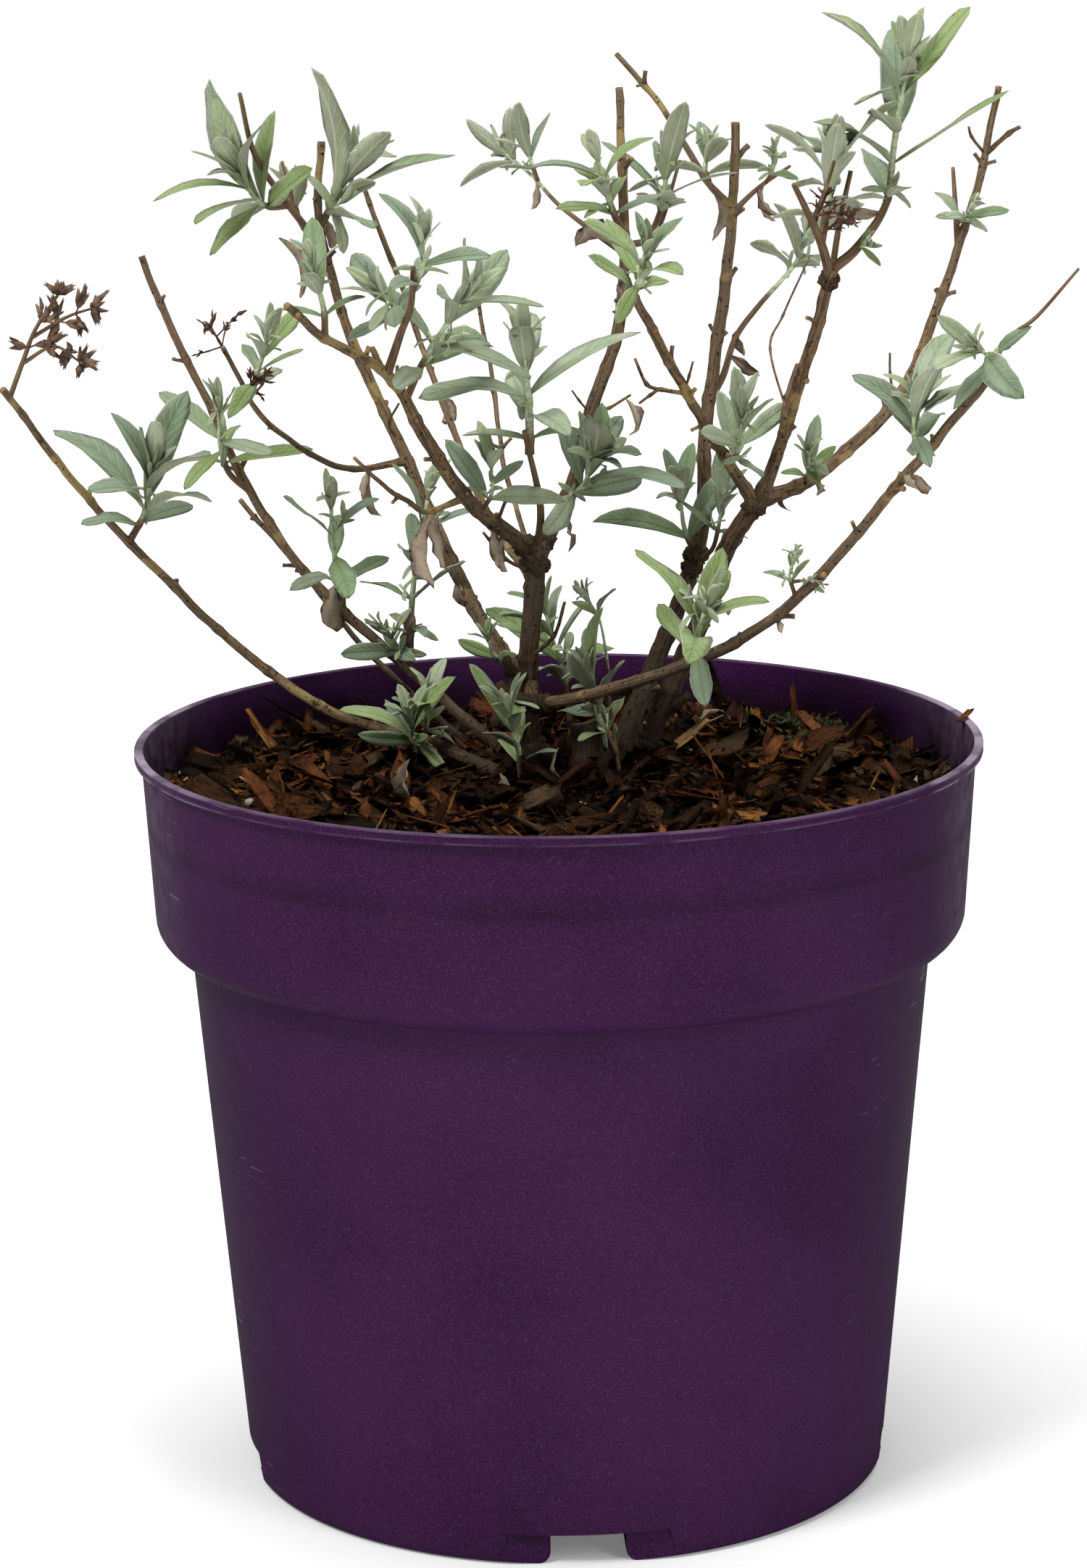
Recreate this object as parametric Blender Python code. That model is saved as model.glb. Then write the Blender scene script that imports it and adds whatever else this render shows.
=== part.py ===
# A butterfly bush in a round nursery pot: pot, bark mulch, trunk, boughs and leafy shoots.
# The table sizes are millimetres, and the frame is +X right, +Y back, +Z up.
# The origin is the middle of the pot's underside.

import math
import random
from collections import namedtuple

import bmesh
import bpy
from mathutils import Matrix, Vector
from mathutils.bvhtree import BVHTree

MM = 0.001
GAP = 0.35

# Pot: a moulded five-litre shape with a deep band under its lip.
POT_HEIGHT = 204.0
RIM_RADIUS = 115.0
LIP_HEIGHT = 2.2
LIP_ROUND = 0.7
BAND_TOP_RADIUS = 113.1
BAND_FOOT_RADIUS = 110.5
BAND_FOOT_HEIGHT = 150.0
BAND_EDGE_RADIUS = 8.0
BODY_TOP_RADIUS = 101.5
BODY_FOOT_RADIUS = 88.3
WALL = 1.4
FOOT_RING_WIDTH = 8.0
FOOT_BEVEL = 1.2
FOOT_HEIGHT = 3.5
FLOOR_HEIGHT = 12.0
PAD_RADIUS = 20.0
NOTCH_WIDTH = 43.0
NOTCH_DEPTH = 3.0
NOTCH_HEIGHT = 9.0
NOTCH_SLANT = 3.8
DRAIN_WIDTH = 20.0
DRAIN_REACH = 62.0
NOTCH_COUNT = 4
NOTCH_TURN = 3.5
POT_SIDES = 36

# Mulch: level where the stems stand, lumpy towards the wall.
SOIL_HEIGHT = 190.0
SOIL_EDGE_HEIGHT = 188.0
LEVEL_RADIUS = 52.0
LUMP = 1.6

# Wood: six-sided tapered tubes, cut level just above the soil.
LIMB_SIDES = 6
LIMB_STEP = 14.0
FLARE = 1.36
FLARE_HEIGHT = 4.5
SOWN_DEPTH = 3.0
OLD_GIRTH = 3.0

# Leaves: lance-shaped blades of eight faces on three-sided twigs.
TWIG_SIDES = 3
TWIG_STEP = 9.0
LEAF_SHARE = 0.36
LEAF_THICKNESS = 0.75
LEAF_ROOT = 0.9
WIDEST = 0.52
LEAF_CLEAR = 0.3
DODGES = (0, 16, -16, 32, -32, 48, -48)
LOW_OPENING = 84.0
TIP_OPENING = 30.0
OPENING_SPREAD = 26.0
TURN_SPREAD = 30.0
LENGTH_SHARES = (0.7, 1.2)
ARCHES = (5, 75)
SOLVER = "EXACT"

BARK = (0.245, 0.165, 0.110)
YOUNG_BARK = (0.330, 0.240, 0.150)
FELTED_LEAF = (0.330, 0.430, 0.330)

# A limb's start is (right, back) on the soil, or its parent and the distance along it.
# Its runs are the steps from bend to bend (right, back, up).
Limb = namedtuple("Limb", "start runs foot tip")

LIMBS = {
    "trunk": Limb((-7, 25), [(-1, -1, 30), (3, 0, 36)], 5.8, 5.2),
    "stem_right_back": Limb(
        (14, 28), [(16, 10, 36), (10, 4, 28), (2, 5, 29), (6, 7, 42), (2, 4, 18), (1, 4, 24)], 5.6, 2.3
    ),
    "stem_right": Limb((22, 43), [(16, -11, 38), (10, -7, 28), (9, -7, 15)], 5.8, 5.0),
    "cane_left_low": Limb(
        (-10, 14), [(-24, 14, 9), (-27, 12, 6), (-27, 8, 17), (-30, -10, 33), (-15, -12, 21), (-15, -20, 27)],
        3.2, 1.9,
    ),
    "cane_left": Limb(
        (-11, 40), [(-24, 12, 19), (-34, 14, 30), (-18, 8, 25), (-12, 4, 26), (-11, 2, 23), (-6, 0, 17)],
        3.2, 2.0,
    ),
    "cane_left_thin": Limb((-20, 48), [(-31, 18, 25), (-23, 20, 24), (-17, 12, 18)], 1.9, 1.5),
    "bough_left_back": Limb(
        ("trunk", 24), [(-15, 22, 20), (-10, 12, 19), (-12, 10, 27), (-13, 10, 28), (-8, 6, 31), (1, 2, 22)],
        4.6, 2.0,
    ),
    "bough_right_low": Limb(
        ("trunk", 27), [(5, -16, -2), (34, -24, 14), (29, -24, 21), (30, -26, 40), (19, -14, 26)], 3.4, 2.4
    ),
    "bough_left_front": Limb(
        ("trunk", 63), [(-18, -22, 19), (-11, -16, 20), (-9, -16, 19), (-15, -20, 12), (-9, -16, 11)],
        4.6, 2.0,
    ),
    "bough_centre": Limb(
        ("trunk", 63), [(10, 6, 18), (5, 2, 19), (8, 4, 23), (2, 4, 23), (-1, 10, 42)], 4.4, 2.1
    ),
    "cane_back_thin": Limb(
        ("trunk", 55), [(-14, 24, 18), (-13, 24, 30), (-12, 26, 30), (-9, 14, 22)], 2.2, 1.5
    ),
    "cane_back_short": Limb(("trunk", 59), [(-8, 29, 22), (-4, 26, 26), (-4, 16, 18)], 1.6, 1.2),
    "twig_left_thin": Limb(
        ("bough_left_back", 81), [(-14, -8, -1), (-12, -10, 6), (-13, -12, 13), (-5, -10, 12), (-4, -6, 9)],
        2.0, 1.3,
    ),
    "twig_left_dead": Limb(
        ("bough_left_front", 36), [(-10, -11, -2), (-6, -10, 5), (-6, -12, 7), (-6, -10, 8)], 1.8, 1.0
    ),
    "bough_top_middle": Limb(("stem_right_back", 162), [(-8, 14, 9), (-10, 16, 16), (-13, 10, 15)], 2.0, 1.5),
    "bough_right_tall": Limb(
        ("stem_right", 89), [(15, 9, 4), (22, 18, 16), (12, 12, 20), (14, 12, 37), (7, 8, 29)], 4.0, 1.8
    ),
    "bough_right": Limb(("stem_right", 89), [(4, -8, 12), (9, -24, 37), (4, -14, 19)], 3.6, 3.1),
    "bough_right_inner": Limb(("stem_right", 87), [(-10, -14, 17), (-10, -18, 19), (-15, -32, 31)], 3.2, 2.2),
    "old_stump": Limb((8, 13), [(0, 2, 8), (-1, 2, 9)], 9.5, 7.0),
}

# A mass of foliage is one stem with pairs of leaves, and the side twigs that branch from it.
# A twig starts a distance along its limb, at (right, back) on the soil, or at a share of the mass's stem.
# It is bare up to a share of its own length, and carries its pairs of leaves from there to its tip.
Twig = namedtuple("Twig", "start runs girth bare pairs leaf seed")
Leaf = namedtuple("Leaf", "root ahead across turn opening length arch")

MASSES = {
    "foliage_left_low": ("cane_left_low", [Twig(139, [(5, -2, 9), (2, -4, 10)], 2.0, 0.3, 5, 31, 3950)]),
    "seedhead_left": ("cane_left_low", [
        Twig(200, [(4, 0, 10), (4, -3, 9), (7, -3, 10)], 1.4, 0.45, 3, 9, 11),
        Twig(0.30, [(9, -3, 5), (7, -2, -4)], 1.1, 0.5, 2, 8, 2328),
        Twig(0.55, [(9, 2, 5), (7, 3, 2)], 1.1, 0.5, 2, 8, 377),
    ]),
    "foliage_left_middle": ("cane_left", [
        Twig(111, [(-6, -2, 6), (-2, -3, 8), (0, -3, 9)], 1.9, 0.45, 3, 31, 1119),
    ]),
    "foliage_left_inner": ("twig_left_thin", [Twig(63, [(3, -3, 9), (2, -2, 6)], 1.8, 0.2, 4, 22, 962)]),
    "foliage_left_high": ("bough_left_back", [
        Twig(142, [(-5, -3, 9), (-7, -8, 11), (-7, -8, 13), (-3, -8, 17)], 2.2, 1, 0, 0, 1),
        Twig(0.36, [(-5, -4, 0), (-4, -4, 3), (-3, -2, 6)], 2.0, 0.35, 4, 36, 5821),
    ]),
    "foliage_left_crown": ("bough_left_back", [Twig(152, [(3, 2, 6), (4, 2, 8)], 2.0, 0.25, 4, 36, 1092)]),
    "foliage_left_stub": ("bough_left_back", [
        Twig(146, [(-7, 4, 7), (-5, 4, 17)], 1.8, 1, 0, 0, 1),
        Twig(0.40, [(-2, 4, 7)], 1.3, 0.4, 2, 16, 432),
    ]),
    "foliage_front_left_tip": ("bough_left_front", [
        Twig(117, [(0, -3, 8), (-2, -3, 9)], 1.8, 0.35, 3, 20, 322),
    ]),
    "foliage_front_left_twigs": ("bough_left_front", [
        Twig(89, [(4, -11, 12), (3, -8, 8), (1, -8, 11)], 2.4, 1, 0, 0, 1),
        Twig(0.80, [(3, -3, 7), (0, -2, 5)], 1.6, 0.2, 3, 25, 1003),
        Twig(0.50, [(-2, -3, 4), (-3, -2, 4)], 1.5, 0.3, 3, 22, 856),
    ]),
    "foliage_front_left_low": ("bough_left_front", [
        Twig(77, [(6, -7, 13), (9, -6, 14)], 1.9, 0.35, 4, 34, 4890),
    ]),
    "foliage_centre_front": ("trunk", [
        Twig(64, [(1, -16, 16), (-4, -20, 23)], 2.3, 1, 0, 0, 1),
        Twig(0.82, [(0, -3, 12), (-1, -3, 16)], 2.4, 0.15, 5, 31, 1266),
    ]),
    "foliage_left_fork": ("bough_left_front", [Twig(28, [(3, -6, 6), (0, -3, 7)], 1.5, 0.35, 2, 26, 49)]),
    "foliage_left_tall": ("cane_left", [
        Twig(42, [(1, -3, 20), (2, -2, 15), (3, -2, 15)], 1.9, 0.22, 5, 23, 1603),
        Twig(0.10, [(-4, -5, 3), (-1, -2, 3)], 1.5, 0.3, 2, 24, 5603),
    ]),
    "foliage_left_lower": ("cane_left", [
        Twig(70, [(0, -4, 10), (-1, -3, 10), (0, -2, 9)], 1.9, 0.25, 4, 25, 1475),
    ]),
    "foliage_back_top": ("bough_centre", [
        Twig(87, [(-8, 8, 5), (-10, 10, 7), (-7, 8, 7), (-7, 8, 5)], 1.8, 0.93, 2, 25, 800),
        Twig(0.72, [(-3, 2, 9)], 1.3, 0.4, 3, 16, 4429),
    ]),
    "foliage_centre_left": ("bough_centre", [Twig(93, [(-3, -4, 6), (-4, -4, 14)], 2.0, 0.3, 4, 20, 1648)]),
    "foliage_centre_right": ("bough_centre", [
        Twig(89, [(9, 8, 3), (7, 14, 18)], 1.9, 1, 0, 0, 1),
        Twig(0.30, [(3, 2, 8), (1, 2, 9)], 1.9, 0.35, 4, 28, 189),
    ]),
    "foliage_inner_front": ("bough_right_inner", [Twig(97, [(2, -4, 5), (1, -3, 6)], 1.9, 0.1, 4, 25, 1071)]),
    "foliage_top_middle": ("bough_top_middle", [Twig(14, [(-1, 3, 3), (1, 2, 5)], 1.6, 0.25, 3, 21, 697)]),
    "foliage_top_fork": ("stem_right_back", [
        Twig(161, [(8, 10, 6), (9, 8, 5)], 1.9, 1, 0, 0, 1),
        Twig(0.62, [(2, -3, 4), (0, -2, 5)], 1.2, 0.3, 3, 11, 4468),
    ]),
    "foliage_top_right": ("bough_right", [
        Twig(84, [(7, 6, 5), (8, 10, 10), (2, 0, 15), (3, -2, 21)], 2.7, 0.45, 5, 32, 3937),
        Twig(0.16, [(2, -4, 1)], 1.1, 0.4, 2, 10, 3927),
    ]),
    "foliage_right_crown": ("bough_right", [
        Twig(81, [(-3, -10, 10), (-5, -12, 11), (-3, -6, 6)], 2.5, 1, 0, 0, 1),
        Twig(0.35, [(2, 4, 10), (1, 4, 10)], 2.0, 0.35, 4, 28, 2960),
    ]),
    "foliage_right_twig": ("stem_right_back", [
        Twig(109, [(4, 5, 6), (4, 12, 9), (7, 8, 8), (11, 14, 10), (3, 4, 7)], 1.9, 0.84, 4, 21, 2141),
    ]),
    "foliage_tall_right": ("bough_right_tall", [
        Twig(102, [(-1, 7, 22)], 1.8, 1, 0, 0, 1),
        Twig(0.30, [(3, -4, 4)], 1.3, 0.3, 3, 13, 5),
    ]),
    "foliage_inner_right": ("bough_right_inner", [Twig(18, [(3, -6, 7), (0, -3, 7)], 2.0, 0.2, 4, 22, 5538)]),
    "foliage_right_low": ("bough_right_tall", [Twig(15, [(1, -5, 4), (0, -2, 4)], 1.4, 0.3, 3, 14, 5795)]),
    "foliage_right_stem": ("stem_right_back", [
        Twig(64, [(5, -6, 4), (2, -3, 8), (1, -2, 7)], 1.8, 0.6, 3, 20, 5046),
    ]),
    "foliage_centre_low": ("stem_right_back", [Twig(66, [(-3, -6, 8), (-1, -3, 7)], 1.8, 0.35, 2, 32, 1357)]),
    "foliage_centre": ("bough_centre", [Twig(17, [(5, -5, 5), (2, -3, 6)], 2.0, 0.25, 4, 31, 2391)]),
    "foliage_right_front": ("bough_right_low", [Twig(165, [(-2, -4, 7), (0, -2, 7)], 1.9, 0.35, 4, 27, 932)]),
    "foliage_right_tip": ("bough_right_low", [
        Twig(190, [(7, -2, 13), (7, -2, 6), (10, -2, 12)], 1.3, 1, 0, 0, 1),
        Twig(0.22, [(-4, -5, 3)], 1.5, 0.2, 3, 21, 4353),
    ]),
    "foliage_right_sprig": ("bough_right_low", [
        Twig(108, [(-2, -4, 7), (1, -1, 3)], 1.2, 0.5, 2, 11, 1278),
        Twig(0.50, [(5, -2, 1)], 1.0, 0.5, 2, 9, 570),
    ]),
    "foliage_low_right": ("bough_right_low", [Twig(69, [(0, -5, 7), (2, -3, 7)], 2.3, 0.15, 4, 29, 3442)]),
    "foliage_low_left": ("cane_left_low", [
        Twig(31, [(-5, -6, 2), (0, -2, 5)], 1.6, 0.35, 3, 22, 4742),
        Twig(0.30, [(2, -2, 6), (0, -1, 7)], 1.4, 0.3, 3, 17, 3815),
    ]),
    "foliage_low_front": (None, [
        Twig((-10, 6), [(-1, -2, 13), (-1, -2, 5), (-1, -1, 5)], 1.8, 0.35, 4, 22, 1713),
    ]),
    "foliage_left_foot": ("bough_left_back", [Twig(13, [(-4, -7, 3), (-1, -3, 5)], 1.4, 0.35, 2, 15, 5684)]),
    "foliage_low_centre": (None, [
        Twig((17, 16), [(-3, 3, 25), (0, 1, 6), (-2, 2, 13), (-3, 1, 6)], 1.2, 0.92, 2, 14, 3440),
        Twig(0.16, [(-5, -3, 12), (-2, -2, 10)], 1.8, 0.3, 4, 25, 5930),
    ]),
    "foliage_low_back": (None, [
        Twig((4, 62), [(-2, -2, 22), (-3, -2, 10), (-2, -2, 8)], 1.5, 0.45, 4, 24, 5025),
    ]),
}


def clear_scene():
    for obj in list(bpy.data.objects):
        bpy.data.objects.remove(obj)


def finish(name, colour, roughness):
    material = bpy.data.materials.new(name)
    material.use_nodes = True
    shader = material.node_tree.nodes["Principled BSDF"]
    shader.inputs["Base Color"].default_value = (*colour, 1)
    shader.inputs["Roughness"].default_value = roughness
    shader.inputs["Metallic"].default_value = 0
    return material


def new_object(name, bm):
    bmesh.ops.recalc_face_normals(bm, faces=bm.faces)
    mesh = bpy.data.meshes.new(name)
    bm.to_mesh(mesh)
    bm.free()
    obj = bpy.data.objects.new(name, mesh)
    bpy.context.scene.collection.objects.link(obj)
    return obj


def dress(obj, colour, roughness, crease=40):
    obj.data.materials.clear()
    obj.data.materials.append(finish(obj.name, colour, roughness))
    obj.data.shade_smooth()
    obj.data.set_sharp_from_angle(angle=math.radians(crease))


def combine(obj, others, operation, solver="EXACT"):
    """Joins the others to the object, or cuts them from it, and removes them."""
    helpers = bpy.data.collections.new("helpers")
    bpy.context.scene.collection.children.link(helpers)
    for other in others:
        bpy.context.scene.collection.objects.unlink(other)
        helpers.objects.link(other)
    modifier = obj.modifiers.new(operation, "BOOLEAN")
    modifier.operation = operation
    modifier.operand_type = "COLLECTION"
    modifier.collection = helpers
    modifier.solver = solver
    graph = bpy.context.evaluated_depsgraph_get()
    combined = bpy.data.meshes.new_from_object(obj.evaluated_get(graph))
    obj.modifiers.clear()
    obj.data = combined
    for other in others:
        bpy.data.objects.remove(other)
    bpy.data.collections.remove(helpers)


# Pot and mulch

def turned(name, profile):
    """A solid of revolution from a profile of (radius, height) that starts and ends on the axis."""
    bm = bmesh.new()
    corners = [bm.verts.new((r * MM, 0, z * MM)) for r, z in profile]
    edges = [bm.edges.new(pair) for pair in zip(corners, corners[1:])]
    bmesh.ops.spin(
        bm, geom=corners + edges, axis=(0, 0, 1), cent=(0, 0, 0),
        steps=POT_SIDES, angle=math.tau, use_merge=True,
    )
    bmesh.ops.remove_doubles(bm, verts=bm.verts, dist=1e-6)
    return new_object(name, bm)


def band_edge(radius):
    """The rounded step from the body out to the band: points on an arc, low end first."""
    middle = (BAND_FOOT_RADIUS - BAND_EDGE_RADIUS, BAND_FOOT_HEIGHT + BAND_EDGE_RADIUS)
    turns = (-90, -60, -30, 0)
    return [
        (middle[0] + radius * math.cos(math.radians(turn)), middle[1] + radius * math.sin(math.radians(turn)))
        for turn in turns
    ]


def inner_wall():
    """The inside of the wall from the floor to just under the lip, low end first."""
    slope = (BODY_TOP_RADIUS - BODY_FOOT_RADIUS) / BAND_FOOT_HEIGHT
    low = BODY_FOOT_RADIUS + slope * FLOOR_HEIGHT - WALL
    return [
        (low, FLOOR_HEIGHT),
        (BODY_TOP_RADIUS - WALL, BAND_FOOT_HEIGHT + WALL),
        *band_edge(BAND_EDGE_RADIUS - WALL)[1:],
        (BAND_TOP_RADIUS - WALL, POT_HEIGHT - LIP_ROUND),
    ]


def make_pot():
    ring_inside = BODY_FOOT_RADIUS - FOOT_RING_WIDTH
    outside = [
        (0, 0),
        (PAD_RADIUS, 0),
        (PAD_RADIUS + FOOT_BEVEL, FOOT_HEIGHT),
        (ring_inside, FOOT_HEIGHT),
        (ring_inside + FOOT_BEVEL, 0),
        (BODY_FOOT_RADIUS - FOOT_BEVEL, 0),
        (BODY_FOOT_RADIUS, FOOT_BEVEL),
        (BODY_TOP_RADIUS, BAND_FOOT_HEIGHT),
        *band_edge(BAND_EDGE_RADIUS)[1:],
        (BAND_TOP_RADIUS, POT_HEIGHT - LIP_HEIGHT),
        (RIM_RADIUS, POT_HEIGHT - LIP_HEIGHT),
        (RIM_RADIUS, POT_HEIGHT - LIP_ROUND),
        (RIM_RADIUS - LIP_ROUND, POT_HEIGHT),
        (BAND_TOP_RADIUS - WALL + LIP_ROUND, POT_HEIGHT),
    ]
    pot = turned("pot", [*outside, *reversed(inner_wall()), (0, FLOOR_HEIGHT)])
    cutters = []
    for i in range(NOTCH_COUNT):
        turn = math.radians(NOTCH_TURN + i * 360 / NOTCH_COUNT)
        cutters.append(notch_cutter(NOTCH_WIDTH, NOTCH_SLANT, BODY_FOOT_RADIUS - NOTCH_DEPTH, 8, turn))
        cutters.append(notch_cutter(DRAIN_WIDTH, 0, DRAIN_REACH, 6, turn))
    combine(pot, cutters, "DIFFERENCE")
    dress(pot, (0.050, 0.022, 0.062), 0.42)
    return pot


def notch_cutter(width, slant, inside, outside, turn):
    """A block, wider at its foot by the slant, that opens the foot from the inside radius outwards."""
    bm = bmesh.new()
    bmesh.ops.create_cube(bm, size=1)
    for v in bm.verts:
        half = width / 2 + (slant if v.co.z < 0 else 0)
        v.co = Vector((
            math.copysign(half, v.co.x),
            -(inside if v.co.y > 0 else BODY_FOOT_RADIUS + outside),
            -outside / 2 if v.co.z < 0 else NOTCH_HEIGHT,
        )) * MM
    bm.transform(Matrix.Rotation(turn, 4, "Z"))
    return new_object("notch", bm)


def make_mulch():
    sides = [(r - GAP, z + GAP) for r, z in inner_wall()[:-1]]
    band_slope = (BAND_TOP_RADIUS - BAND_FOOT_RADIUS) / (POT_HEIGHT - BAND_FOOT_HEIGHT - BAND_EDGE_RADIUS)
    edge = sides[-1][0] + band_slope * (SOIL_EDGE_HEIGHT - sides[-1][1])
    profile = [
        (0, FLOOR_HEIGHT + GAP),
        *sides,
        (edge, SOIL_EDGE_HEIGHT),
        (0.87 * edge, SOIL_EDGE_HEIGHT + 1),
        (0.72 * edge, SOIL_HEIGHT),
        (LEVEL_RADIUS + 4, SOIL_HEIGHT),
        (0, SOIL_HEIGHT),
    ]
    mulch = turned("bark_mulch", profile)
    lumps = random.Random(11)
    for v in mulch.data.vertices:
        reach = math.hypot(v.co.x, v.co.y) / MM
        if v.co.z > (SOIL_EDGE_HEIGHT - 1) * MM and reach > LEVEL_RADIUS + 10:
            v.co.z += lumps.uniform(-LUMP, LUMP) * MM
    dress(mulch, (0.130, 0.062, 0.034), 0.9, crease=20)
    return mulch


# Stems and boughs

def smooth_path(joints, step):
    """Points about a step apart on a rounded line through the joints."""
    ends = [2 * joints[0] - joints[1], *joints, 2 * joints[-1] - joints[-2]]
    path = [joints[0]]
    for a, b, c, d in zip(ends, ends[1:], ends[2:], ends[3:]):
        pieces = max(1, round((c - b).length / step))
        for i in range(1, pieces + 1):
            t = i / pieces
            bend = (2 * a - 5 * b + 4 * c - d) * t**2 + (3 * b - a - 3 * c + d) * t**3
            path.append(0.5 * (2 * b + (c - a) * t + bend))
    return path


def lengths_along(path):
    """The distance from the foot to each point of the path."""
    reached = [0.0]
    for a, b in zip(path, path[1:]):
        reached.append(reached[-1] + (b - a).length)
    return reached


def point_along(path, distance):
    reached = lengths_along(path)
    for i in range(1, len(path)):
        if reached[i] >= distance or i == len(path) - 1:
            t = (distance - reached[i - 1]) / (reached[i] - reached[i - 1])
            return path[i - 1].lerp(path[i], min(t, 1))


def heading_along(path, distance):
    return (point_along(path, distance + 2) - point_along(path, distance - 2)).normalized()


def joints_from(start, runs):
    joints = [Vector(start)]
    for run in runs:
        joints.append(joints[-1] + Vector(run))
    return joints


def limb_paths():
    """Each limb's middle line in millimetres, foot first. A parent comes before its boughs."""
    paths = {}
    for name, limb in LIMBS.items():
        if isinstance(limb.start[0], str):
            start = point_along(paths[limb.start[0]], limb.start[1])
        else:
            start = (*limb.start, SOIL_HEIGHT - SOWN_DEPTH)
        paths[name] = smooth_path(joints_from(start, limb.runs), LIMB_STEP)
    return paths


def limb_radius(limb, share, height):
    """Half the thickness at a share of the length, with a root flare on stems that stand in the soil."""
    radius = 0.5 * (limb.foot + (limb.tip - limb.foot) * share)
    if isinstance(limb.start[0], str):
        return radius
    lift = max(0.0, height - SOIL_HEIGHT)
    return radius * (1 + (FLARE - 1) * math.exp(-lift / FLARE_HEIGHT))


def tube(name, path, radii, sides):
    """A closed tube round the path, its rings square to the line and never twisted."""
    bm = bmesh.new()
    rings = []
    across = None
    for i, point in enumerate(path):
        ahead = (path[min(i + 1, len(path) - 1)] - path[max(i - 1, 0)]).normalized()
        if across is None:
            across = ahead.orthogonal().normalized()
        across = (across - across.dot(ahead) * ahead).normalized()
        turn = Matrix((across, ahead.cross(across), ahead)).transposed().to_4x4()
        turn.translation = point * MM
        made = bmesh.ops.create_circle(
            bm, segments=sides, radius=radii[i] * MM, matrix=turn, cap_ends=i in (0, len(path) - 1)
        )
        rings.append(made["verts"])
    for lower, upper in zip(rings, rings[1:]):
        for i in range(sides):
            bm.faces.new((lower[i - 1], lower[i], upper[i], upper[i - 1]))
    return new_object(name, bm)


def limb_tube(name, path, extra=0.0):
    limb = LIMBS[name]
    reached = lengths_along(path)
    radii = [limb_radius(limb, d / reached[-1], p.z) + extra for d, p in zip(reached, path)]
    if extra:
        # The swollen copy also reaches past the tip.
        path = [*path[:-1], path[-1] + (path[-1] - path[-2]).normalized() * extra]
    return tube(name, path, radii, LIMB_SIDES)


def cut_level(obj):
    """Cuts a sown stem off flat, just above the soil."""
    bm = bmesh.new()
    bm.from_mesh(obj.data)
    cut = bmesh.ops.bisect_plane(
        bm,
        geom=bm.verts[:] + bm.edges[:] + bm.faces[:],
        plane_co=(0, 0, (SOIL_HEIGHT + GAP) * MM),
        plane_no=(0, 0, 1),
        clear_inner=True,
    )
    rim = [e for e in cut["geom_cut"] if isinstance(e, bmesh.types.BMEdge)]
    bmesh.ops.edgeloop_fill(bm, edges=rim)
    bmesh.ops.recalc_face_normals(bm, faces=bm.faces)
    bm.to_mesh(obj.data)
    bm.free()


def nearest(path, other):
    return min((a - b).length for a in dense(path) for b in dense(other))


def dense(path):
    total = lengths_along(path)[-1]
    count = max(2, round(total / 2))
    return [point_along(path, total * i / count) for i in range(count + 1)]


def make_limbs(paths):
    """The trunk, stems and boughs, each cut clear of those it springs from or passes."""
    made = {}
    for name, path in paths.items():
        limb = limb_tube(name, path)
        if not isinstance(LIMBS[name].start[0], str):
            cut_level(limb)
        passed = [
            other for other in made
            if nearest(path, paths[other]) < (LIMBS[name].foot + LIMBS[other].foot) / 2 + GAP
        ]
        if passed:
            combine(limb, [limb_tube(other, paths[other], GAP) for other in passed], "DIFFERENCE")
        dress(limb, BARK if LIMBS[name].foot > OLD_GIRTH else YOUNG_BARK, 0.85)
        made[name] = limb
    return made


# Foliage

def twig_path(twig, limb_path, stem_path):
    """A twig's middle line, from its limb, from the soil or from the stem that it branches from."""
    if isinstance(twig.start, tuple):
        start = (*twig.start, SOIL_HEIGHT - SOWN_DEPTH)
    elif stem_path:
        start = point_along(stem_path, twig.start * lengths_along(stem_path)[-1])
    else:
        start = point_along(limb_path, twig.start)
    return smooth_path(joints_from(start, twig.runs), TWIG_STEP)


def leaves_on(twig, path):
    """The seeded rule: pairs up the twig, each a quarter turn from the last, opening less towards the tip."""
    dice = random.Random(twig.seed)
    total = lengths_along(path)[-1]
    first_turn = dice.uniform(0, 180)
    leaves = []
    for pair in range(twig.pairs):
        up = pair / max(1, twig.pairs - 1)
        spot = total * (twig.bare + (1 - twig.bare) * up)
        ahead = heading_along(path, spot)
        across = (Vector((1, 0, 0)) - ahead.x * ahead).normalized()
        for side in (0, 180):
            turn = first_turn + 90 * pair + side + dice.uniform(-TURN_SPREAD, TURN_SPREAD)
            opening = LOW_OPENING + (TIP_OPENING - LOW_OPENING) * up
            opening += dice.uniform(-OPENING_SPREAD, OPENING_SPREAD)
            length = twig.leaf * leaf_growth(up) * dice.uniform(*LENGTH_SHARES)
            arch = dice.uniform(*ARCHES)
            leaves.append(Leaf(point_along(path, spot), ahead, across, turn, opening, length, arch))
    return leaves


def leaf_growth(up):
    """The share of full size from the lowest pair (0) to the tip (1), largest below the middle."""
    return 0.55 + 0.45 * math.sin(math.pi * (0.15 + 0.85 * up))


def blade_frame(leaf, dodge):
    """The blade's directions: along it, across it, and out of its upper face."""
    turn = math.radians(leaf.turn + dodge)
    outward = math.cos(turn) * leaf.across + math.sin(turn) * leaf.ahead.cross(leaf.across)
    opening = math.radians(leaf.opening)
    along = math.cos(opening) * leaf.ahead + math.sin(opening) * outward
    upper = math.sin(opening) * leaf.ahead - math.cos(opening) * outward
    return along, along.cross(upper), upper


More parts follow.
